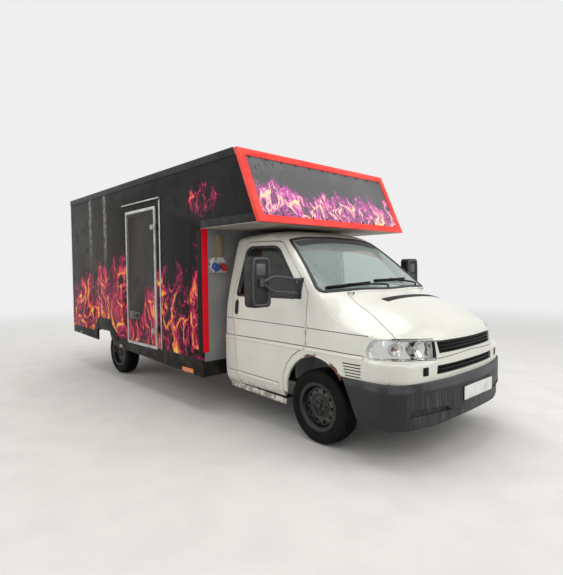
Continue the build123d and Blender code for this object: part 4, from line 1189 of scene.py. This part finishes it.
# Cabin
# A grained plastic dashboard, two padded seats in woven cloth and the steering wheel, bolted to
# the cab floor and its front wall and seen through the glass.
interior = Finish("interior_plastic", (0.16, 0.17, 0.17), 0.65)
interior.grained(600.0, 2.0, 0.0006, 0.6)
dress("dashboard", interior, "interior", 0.03, 4)
dress("steering_wheel", interior, "interior", 0)
seat_cloth = Finish("seat_cloth", (0.20, 0.21, 0.21), 0.95, Sheen_Weight=0.4)
seat_cloth.ribbed("Z", 160.0, 0.001, 0.6)
seat_form = bmesh.new()
seat_form.from_mesh(nodes["seats"].data)
bmesh.ops.remove_doubles(seat_form, verts=seat_form.verts, dist=same_point)
seats = piece_from(seat_form, "seats_padded", seat_cloth, "truck", "seat_cloth")
remesh = seats.modifiers.new("skin", "REMESH")
remesh.mode = "VOXEL"
remesh.voxel_size = 0.018
ease = seats.modifiers.new("ease", "SMOOTH")
ease.factor = 0.5
ease.iterations = 10
settle(seats)
seats.data.shade_smooth()
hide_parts("seats")

# Mirrors
# Tall black mirror heads on two tubular arms from a foot at the window's front corner, with
# the glass on the face that looks back, and on the face ahead painted shade with a painted reflection at its
# top.
mirror_black = Finish("mirror_black", roughness=0.5, Specular_IOR_Level=0.3)
mirror_black.blotched(12.0, 4.0, 0.4, 0.75, (0.011, 0.011, 0.012), (0.038, 0.036, 0.033))
mirror_black.grained(420.0, 2.0, 0.0006, 0.5)
mirror_glass = Finish("mirror_glass", (0.82, 0.84, 0.85), 0.03, Metallic=1.0)
mirror_rim = Finish("mirror_rim", (0.040, 0.040, 0.042), 0.38)
# Inside the ring on the face ahead: a flat dark plate as painted shade, and a paler patch at its top as a
# painted reflection.
painted_hollow_shade_finish = Finish("mirror_painted_hollow_shade", (0.004, 0.004, 0.004), 0.6)
painted_hollow_reflection_finish = Finish("mirror_recess_sheen", (0.075, 0.070, 0.078), 0.35)
head_y, head_z, head_rear_x, head_front_x = 1.210, 1.410, axle_x - 0.435, axle_x - 0.345
# Columns: name, half width, half height, middle z, x, facing, finish, height
mirror_plates = [("glass", 0.088, 0.125, 1.475, head_rear_x, -1, mirror_glass, 0.004),
                 ("wide_glass", 0.088, 0.055, 1.265, head_rear_x, -1, mirror_glass, 0.004),
                 ("recess", 0.078, 0.185, head_z, head_front_x, 1, painted_hollow_shade_finish, 0.001),
                 ("sheen", 0.050, 0.048, 1.520, head_front_x, 1, painted_hollow_reflection_finish, 0.003),
                 ("clamp", 0.030, 0.036, 1.405, head_front_x, 1, mirror_rim, 0.022)]
# Columns: name, then the arm's points (x, y, z) from its foot to the clamp
mirror_arms = [("upper", (-0.222, 0.850, 1.420), (-0.300, 0.980, 1.446), (-0.325, 1.100, 1.462),
                (-0.327, 1.190, 1.412)),
               ("lower", (-0.222, 0.884, 1.300), (-0.300, 0.990, 1.314), (-0.325, 1.120, 1.330),
                (-0.327, 1.185, 1.392))]
for side, hand in hands:
    body = "cab_door_" + hand
    dress("mirror_" + hand, mirror_black, "mirror_black", 0.008, 3)
    for name, half_wide, half_high, middle_z, x, facing, finish, height in mirror_plates:
        outline = ellipse((side * head_y, middle_z), half_wide, half_high, 7.0, 48)
        patch(f"mirror_{name}_{hand}", facing_x(outline, x, facing), height, finish, body, "mirror_black")
    ring = ellipse((side * head_y, head_z), 0.092, 0.200, 6.0, 56)
    band("mirror_ring_" + hand, facing_x(ring, head_front_x, 1), 0.026, 0.012, mirror_rim, body,
         "mirror_black")
    for name, *points in mirror_arms:
        route = [Vector((axle_x + x, side * y, z)) for x, y, z in points]
        pipe(f"mirror_arm_{name}_{hand}", route, 0.0125, mirror_rim, body, "mirror_black")

# Box body
# Flat sandwich panels in satin black, covered with painted flames, glued to aluminium edge
# rails, with a plywood floor, white lining and a black nose that carries the sign over the cab.
wall_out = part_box("red_trim")[1].y
black_panel = (0.0075, 0.0066, 0.0060)
# Columns: place on the scale of heat, colour
fire_colours = [(0.08, (0.060, 0.003, 0.018)), (0.28, (0.26, 0.010, 0.075)), (0.48, (0.58, 0.035, 0.110)),
                (0.66, (0.84, 0.110, 0.070)), (0.82, (0.95, 0.300, 0.050)), (0.96, (0.99, 0.640, 0.080))]


def strands(finish, vector, scale, thin, thick, cover):
    """Thin bright lines where a soft noise crosses its middle, thicker where cover is full."""
    line = finish.away(finish.noise(scale, 2.0, vector, 0.45), 0.5)
    return finish.fade(line, finish.fade(cover, 0.0, 1.0, thin, thick), 0.0)


def flames(finish, across, dense, tip, seed, colours, extra, size):
    """Curling strands of flame over a dark glow, full below dense and gone at tip, as colour and cover."""
    flat = finish.node("ShaderNodeCombineXYZ", X=finish.axes[across], Y=finish.axes["Z"], Z=seed).outputs[0]
    curled = finish.place((size, size, 1.0), vector=flat)
    for scale, reach in ((1.5, (0.62, 0.50, 0.0)), (5.0, (0.17, 0.15, 0.0))):
        sway = finish.node("ShaderNodeTexNoise", Vector=curled, Scale=scale, Detail=2.0)
        bend = finish.node("ShaderNodeVectorMath", {"operation": "MULTIPLY_ADD"})
        for socket, value in zip(bend.inputs, (sway.outputs[1], reach, curled)):
            finish.fill(socket, value)
        curled = bend.outputs[0]
    tall = finish.place((2.3, 1.0, 1.0), vector=curled)
    licks = finish.noise(1.9, 3.0, finish.place((1.0, 0.30, 1.0), vector=curled))
    lift = finish.fade(licks, 0.30, 0.70, (tip - dense) * 0.5, (dense - tip) * 0.5)
    height = finish.plus(finish.axes["Z"], lift)
    low_cover = finish.fade(height, tip, dense)
    cover = finish.larger(low_cover, extra) if extra else low_cover
    thick = strands(finish, tall, 1.7, 0.008, 0.046, cover)
    fine = strands(finish, tall, 3.9, 0.010, 0.050, cover)
    hair = strands(finish, finish.place((1.7, 1.3, 1.0), (3.1, 1.7, 0.0), tall), 6.5, 0.020, 0.075, cover)
    body = finish.plus(finish.times(thick, 0.58), finish.times(fine, 0.36))
    body = finish.times(finish.plus(body, finish.times(hair, 0.30)), cover)
    glow = finish.times(finish.fade(finish.noise(1.8, 3.0, tall), 0.42, 0.66), low_cover)
    heat = finish.plus(body, finish.times(glow, 0.30), clamp=True)
    cells = finish.node("ShaderNodeTexVoronoi", Vector=flat, Scale=34.0)
    sparks = finish.fade(cells.outputs["Distance"], 0.16, 0.07)
    drift = finish.times(finish.fade(finish.noise(2.6, 3.0, flat), 0.50, 0.62),
                         finish.fade(height, tip + 0.25, dense))
    heat = finish.larger(heat, finish.times(finish.times(sparks, drift), 0.72))
    return finish.ramp(heat, colours), finish.fade(heat, 0.10, 0.26)


def panel_finish(name, across, dense, tip, seed, base=black_panel, colours=fire_colours, roughness=0.42,
                 extra=None, size=1.0):
    """Satin paint with flames, fine dust and orange peel. Extra gives a cover of its own from a finish."""
    made = Finish(name, Specular_IOR_Level=0.08)
    fire, cover = flames(made, across, dense, tip, seed, colours, extra(made) if extra else None, size)
    dust = made.fade(made.noise(5.0, 6.0), 0.45, 0.8)
    dusty = made.mix(made.times(dust, 0.5), base, tuple(c * 1.6 + 0.006 for c in base))
    if across == "X":
        bleached = made.times(made.fade(made.axes["X"], axle_x - 2.0, axle_x - 4.2),
                              made.fade(made.axes["Z"], 2.62, 2.2))
        dusty = made.mix(bleached, dusty, (0.024, 0.0205, 0.015))
    made.base = made.mix(cover, dusty, fire)
    made.set("Base Color", made.base)
    made.dulled(dust, roughness, roughness + 0.18)
    made.grained(45.0, 3.0, 0.0012, 0.35)
    return made


# Columns: middle from the front axle or the ground, reach either way
lick_x, lick_z = (-1.34, 0.40), (2.25, 0.24)


def lone_lick(finish):
    """One lick of flame by itself on the side of the nose over the cab."""
    aside = finish.math("DIVIDE", finish.math("SUBTRACT", finish.axes["X"], axle_x + lick_x[0]), lick_x[1])
    above = finish.math("DIVIDE", finish.math("SUBTRACT", finish.axes["Z"], lick_z[0]), lick_z[1])
    return finish.times(finish.fade(finish.reach(aside, above), 1.0, 0.55), 0.9)


box_side = panel_finish("box_side_panel", "X", 1.12, 1.80, 3.0, extra=lone_lick)
# Columns: x of a pale streak from the front axle, height of its foot
streaks = [(-4.41, 1.45), (-3.87, 1.35)]
streak_colour = (0.22, 0.215, 0.205)
streak_cover = 0.0
for streak_x, foot_z in streaks:
    wobble = box_side.times(box_side.noise(4.0, 3.0), 0.05)
    near = box_side.away(box_side.plus(box_side.axes["X"], wobble), axle_x + streak_x + 0.025)
    strip = box_side.times(box_side.fade(near, 0.068, 0.030),
                           box_side.fade(box_side.axes["Z"], foot_z, foot_z + 0.75))
    streak_cover = box_side.larger(streak_cover, strip)
patchy = box_side.times(streak_cover, box_side.fade(box_side.noise(14.0, 5.0), 0.25, 0.65))
box_side.set("Base Color", box_side.mix(patchy, box_side.base, streak_colour))
box_plain = Finish("box_black", roughness=0.42, Specular_IOR_Level=0.08)
box_plain.blotched(4.0, 6.0, 0.4, 0.8, black_panel, (0.015, 0.014, 0.013))
box_plain.grained(45.0, 3.0, 0.0012, 0.35)
lining = Finish("box_lining", (0.62, 0.63, 0.62), 0.4)
lining.grained(30.0, 3.0, 0.001, 0.3)
rear_fire = panel_finish("box_rear_panel", "Y", 1.00, 1.65, 9.0)
roof_rail = Finish("roof_rail", roughness=0.4, Specular_IOR_Level=0.12)
roof_rail.blotched(7.0, 5.0, 0.4, 0.75, (0.010, 0.010, 0.011), (0.032, 0.030, 0.027))
nose_rail_z = (1.94, 2.03)
rear_face, front_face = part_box("box_rear_wall")[0].x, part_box("box_front_wall")[1].x
skin = 0.015


def wall_finish(middle, normal):
    """Painted outside, lined inside, with a black rail along the nose's foot."""
    if abs(middle.y) > wall_out + 0.001 and nose_rail_z[0] < middle.z < nose_rail_z[1]:
        return 2
    at_end = normal.x > 0.7 or (normal.x < -0.7 and middle.x < axle_x - 4.7)
    return 0 if abs(middle.y) > wall_out - 0.003 or at_end else 1


for hand in ("right", "left"):
    dress(f"box_{hand}_wall", [box_side, lining, roof_rail], "box_panel", choose=wall_finish)
dress("box_rear_wall", [rear_fire, lining], "box_panel",
      choose=lambda middle, normal: 0 if middle.x < rear_face + skin else 1)
box_grey = Finish("box_grey")
box_grey.blotched(3.0, 5.0, 0.35, 0.75, (0.19, 0.195, 0.20), (0.25, 0.245, 0.235))
box_grey.grained(50.0, 3.0, 0.001, 0.3)
dress("box_front_wall", [box_grey, lining], "box_grey",
      choose=lambda middle, normal: 0 if middle.x > front_face - skin else 1)
under_pale = Finish("nose_underside", roughness=0.6)
under_pale.blotched(4.0, 6.0, 0.4, 0.7, (0.32, 0.30, 0.265), (0.20, 0.185, 0.16))
dress("nose_floor", [under_pale, lining], "box_panel",
      choose=lambda middle, normal: 0 if middle.z < 1.96 else 1)
roof_white = Finish("roof_panel")
roof_white.blotched(2.0, 6.0, 0.35, 0.75, (0.58, 0.58, 0.56), (0.38, 0.37, 0.34))


def roof_finish(middle, normal):
    """Black edge rails, a white outer skin and white lining under it."""
    if abs(middle.y) > wall_out - 0.06:
        return 0
    return 1 if middle.z > 2.65 else 2


dress("box_roof", [roof_rail, roof_white, lining], "black_trim", 0.003, choose=roof_finish)
floor_wood = Finish("floor_wood")
ply_grain = floor_wood.fade(floor_wood.noise(1.0, 5.0, floor_wood.place((1.5, 22, 22))), 0.35, 0.65)
floor_wood.set("Base Color", floor_wood.mix(ply_grain, (0.26, 0.17, 0.10), (0.36, 0.26, 0.16)))
dress("box_floor", floor_wood, "floor_wood")
trim_black = Finish("trim_black", (0.014, 0.014, 0.014), 0.4)
rivet_step = 0.18
roof_low, roof_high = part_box("box_roof")
rail_start, rail_end = roof_low.x + 0.06, roof_high.x - 0.02
rivet_count = int((rail_end - rail_start) / rivet_step)
for side, hand in hands:
    rivets = [Vector((rail_start + n * rivet_step, side * (roof_high.y + 0.001), roof_low.z + 0.022))
              for n in range(rivet_count)]
    studs("rail_rivets_" + hand, rivets, face_left if side > 0 else face_right, trim_black, "truck",
          0.007)
seam_x, corner_x = axle_x - 1.63, axle_x - 1.418
for side, hand in hands:
    for name, start, end, steps, width, height in (
            ("panel_seam_", (seam_x, 0.6), (seam_x, 2.5), 19, 0.03, 0.0016),
            ("corner_rail_", (corner_x, 0.62), (corner_x, 1.93), 12, 0.085, 0.003)):
        spots = facing_y(between(start, end, steps), side * wall_out, side)
        band(name + hand, spots, width, height, box_plain, "truck", "black_trim", closed=False)

# Sign
# A bright red welded frame on the slanted face over the cab, with a dark panel of painted
# flames set back in it and held by small dark screws.
red_paint = Finish("red_paint", roughness=0.38, Specular_IOR_Level=0.3)
red_paint.blotched(3.0, 5.0, 0.35, 0.75, (0.84, 0.026, 0.018), (0.92, 0.070, 0.038))
red_paint.grained(60.0, 3.0, 0.0008, 0.3)
strip_red = Finish("strip_red", roughness=0.4, Specular_IOR_Level=0.15)
strip_red.blotched(8.0, 5.0, 0.4, 0.75, (0.90, 0.005, 0.022), (0.76, 0.005, 0.018))
dress("red_trim", [red_paint, strip_red], "red_paint", 0.003,
      choose=lambda middle, normal: 1 if middle.x < axle_x - 1.37 else 0)
# Columns: place on the scale of heat, colour
sign_colours = [(0.08, (0.30, 0.07, 0.22)), (0.30, (0.62, 0.11, 0.42)), (0.50, (0.82, 0.24, 0.52)),
                (0.68, (0.93, 0.55, 0.55)), (0.82, (0.96, 0.78, 0.52)), (0.96, (0.98, 0.86, 0.34))]
sign_grey = (0.125, 0.124, 0.129)
sign_finish = panel_finish("sign_flames", "Y", 2.20, 2.40, 21.0, sign_grey, sign_colours, 0.36, size=2.1)
rain = sign_finish.noise(1.0, 5.0, sign_finish.place((40, 40, 3)))
rain_cover = sign_finish.times(sign_finish.fade(sign_finish.axes["Y"], -0.35, -0.95),
                               sign_finish.fade(sign_finish.axes["Z"], 2.32, 2.50))
rain_cover = sign_finish.times(rain_cover, sign_finish.fade(rain, 0.50, 0.66))
sign_finish.set("Base Color", sign_finish.mix(rain_cover, sign_finish.base, (0.055, 0.054, 0.058)))
dress("sign_panel", sign_finish, "box_panel", 0.001)
slope_low, slope_high = Vector((axle_x - 0.434, 0, 1.948)), Vector((axle_x - 0.751, 0, 2.663))
slope = (slope_high - slope_low).normalized()
slope_out = Vector((slope.z, 0, -slope.x))
slope_turn = (0, math.atan2(slope_out.x, slope_out.z), 0)
frame_width, half_width = 0.075, 1.141
screw_half = half_width - frame_width - 0.05
panel_front = max((vertex.co - slope_low).dot(slope_out) for vertex in nodes["sign_panel"].data.vertices)
screws = []
for y, _ in between((-screw_half, 0), (screw_half, 0), 10):
    for distance in (frame_width + 0.012, (slope_high - slope_low).length - frame_width - 0.012):
        screws.append(slope_low + slope * distance + slope_out * (panel_front + 0.002) + Vector((0, y, 0)))
studs("sign_screws", screws, slope_turn, trim_black, "truck", 0.011, 0.008, 0.007)

# Entrance door
# A charcoal sandwich leaf in a silver aluminium frame, hinged at its front edge on two knuckle
# hinges, shut by a recessed paddle latch, with a drip rail over it and a post beside it.
aluminium = Finish("aluminium", Metallic=0.55)
brushed = aluminium.noise(1.0, 4.0, aluminium.place((70, 70, 4)))
aluminium.blotched(8.0, 5.0, 0.4, 0.75, (0.50, 0.50, 0.49), (0.30, 0.29, 0.27))
aluminium.set("Roughness", aluminium.fade(brushed, 0.3, 0.7, 0.30, 0.48))
dress("door_frame", aluminium, "aluminium_trim")
door_fire = panel_finish("entrance_panel", "X", 0.86, 1.30, 5.0, (0.030, 0.026, 0.021))
leaf_low, leaf_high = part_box("entrance_door")
leaf_border = 0.033
leaf_rear_x, leaf_front_x = axle_x - 3.113, axle_x - 2.386
latch_x, latch_z = (-3.05, -2.75), (0.90, 1.0)
latch_grey = Finish("latch_grey", (0.10, 0.10, 0.10), 0.45, Metallic=0.5)


def leaf_finish(middle, normal):
    """Silver border and hinge parts, grey latch plate, black paddle, painted panel and lined back."""
    at_latch = latch_x[0] < middle.x - axle_x < latch_x[1] and latch_z[0] < middle.z < latch_z[1]
    if at_latch and middle.y < -1.1545:
        return 2 if middle.y < -1.171 else 4
    if middle.y > -1.125:
        return 3
    in_border = (leaf_rear_x + leaf_border < middle.x < leaf_front_x - leaf_border
                 and leaf_low.z + leaf_border < middle.z < leaf_high.z - leaf_border)
    return 0 if in_border else 1


dress("entrance_door", [door_fire, aluminium, trim_black, lining, latch_grey], "door_panel", 0.0015,
      choose=leaf_finish)
frame_face_y = -1.157
frame_screws = []
for step in range(9):
    for x in (-3.137, -2.375):
        frame_screws.append(Vector((axle_x + x, frame_face_y, 0.62 + step * 0.2)))
studs("door_frame_screws", frame_screws, face_right, bolt_steel, "truck",
      0.0045, 0.003, 0.003)
hinge_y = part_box("door_frame")[0].y
# Columns: name, body, rear x and front x of the hinge plate from the front axle
hinge_plates = [("leaf", body_of["entrance_door"], -2.430, -2.384), ("post", "truck", -2.350, -2.316)]
for height in (0.787, 2.035):
    for name, body, rear_x, front_x in hinge_plates:
        outline = rounded(rectangle(axle_x + rear_x, height - 0.030, axle_x + front_x, height + 0.030), 0.008)
        plate_name = f"entrance_hinge_{name}_{round(height * 1000)}"
        patch(plate_name, facing_y(outline, hinge_y, -1), 0.003, aluminium, body, "aluminium_trim")
        holes = [Vector((axle_x + (rear_x + front_x) / 2, hinge_y - 0.004, height + drop))
                 for drop in (-0.017, 0.017)]
        studs(plate_name + "_screws", holes, face_right, trim_black, body, 0.006, 0.005, 0.003)

# Serving hatch
# The flap over the counter on the left side, painted with the wall, edged with aluminium
# angle and hung along its top on hinge pins, with two turn handles at its foot.
hatch_low, hatch_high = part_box("serving_hatch")
hatch_face = wall_out + 0.002


def hatch_finish(middle, normal):
    """Flames on the outer face, lining on the back and aluminium round the edges."""
    if middle.y > wall_out and normal.y > 0.5:
        return 0
    return 2 if middle.y < 1.12 else 1


dress("serving_hatch", [box_side, aluminium, lining], "box_panel", 0.0015, choose=hatch_finish)
hatch_rim = rounded(rectangle(hatch_low.x + 0.02, hatch_low.z + 0.02,
                              hatch_high.x - 0.02, hatch_high.z - 0.035), 0.005, 0.2)
band("hatch_edge", facing_y(hatch_rim, hatch_face, 1), 0.03, 0.003, aluminium, "serving_hatch",
     "aluminium_trim")
for number, x in enumerate((hatch_low.x + 0.4, hatch_high.x - 0.4)):
    seat = ellipse((x, hatch_low.z + 0.09), 0.045, 0.03, 4.0)
    patch(f"hatch_latch_{number}", facing_y(seat, hatch_face, 1), 0.006, trim_black, "serving_hatch",
          "black_trim")

# Skirts
# Black coated panels screwed under the walls, down to below the floor, with trims round the
# rear arches, splashed by the wheels.
skirt_black = Finish("skirt_black", Specular_IOR_Level=0.12)
skirt_black.blotched(7.0, 6.0, 0.40, 0.75, (0.012, 0.0115, 0.011), (0.040, 0.035, 0.029))
skirt_black.grained(45.0, 3.0, 0.0012, 0.35)
dress("skirts", skirt_black, "black_trim", 0.003)

# Lamps
# Amber and dull side markers and red rear clusters, moulded lenses with fine ribs, screwed to
# the skirts and to the rear wall, and the blank number plate between the clusters.
marker_amber = Finish("marker_amber", (0.72, 0.20, 0.03), 0.22, Coat_Weight=0.5)
marker_red = Finish("marker_red", (0.42, 0.015, 0.012), 0.22, Coat_Weight=0.5)
marker_grey = Finish("marker_dull", (0.30, 0.26, 0.22), 0.4)
for finish in (marker_amber, marker_red, marker_grey):
    finish.ribbed("X", 60.0, 0.001, 0.6, vector=finish.place((1, 1, 0)))


def marker_finish(middle, normal):
    """Red over amber on the rear wall, and amber, then dull markers along the sides."""
    if middle.x < rear_face + 0.001:
        return 1 if middle.z > 0.78 else 0
    return 0 if middle.x > axle_x - 2 else 2


dress("lamps", [marker_amber, marker_red, marker_grey], "marker_lens", 0.004, 3, marker_finish)
plate("rear_plate", 0.0, 0.86, rear_face - 0.002, -1)

# Power inlets
# A white socket box on the box's front wall beside the cab, with a blue and a red round inlet
# and a pale duct that leads its cables up.
inlet_white = Finish("inlet_white", roughness=0.4)
inlet_white.blotched(38.0, 4.0, 0.50, 0.58, (0.56, 0.57, 0.57), (0.16, 0.16, 0.18))
inlet_blue = Finish("inlet_blue", (0.015, 0.07, 0.30), 0.35)
inlet_red = Finish("inlet_red", (0.36, 0.015, 0.015), 0.35)
duct_wood = Finish("duct_wood", roughness=0.6)
duct_grain = duct_wood.fade(duct_wood.noise(1.0, 4.0, duct_wood.place((30, 30, 3))), 0.35, 0.65)
duct_wood.set("Base Color", duct_wood.mix(duct_grain, (0.17, 0.14, 0.075), (0.26, 0.22, 0.13)))
duct_foot_z = 1.66
box_front_x = front_face + 0.046
between_inlets_y = -0.95


def inlet_finish(middle, normal):
    """The duct above, the two inlets at the front of the box, and the white box."""
    if middle.z > duct_foot_z:
        return 3
    if middle.x > box_front_x:
        return 1 if middle.y < between_inlets_y else 2
    return 0


dress("power_inlets", [inlet_white, inlet_blue, inlet_red, duct_wood], "inlet_plastic", choose=inlet_finish)
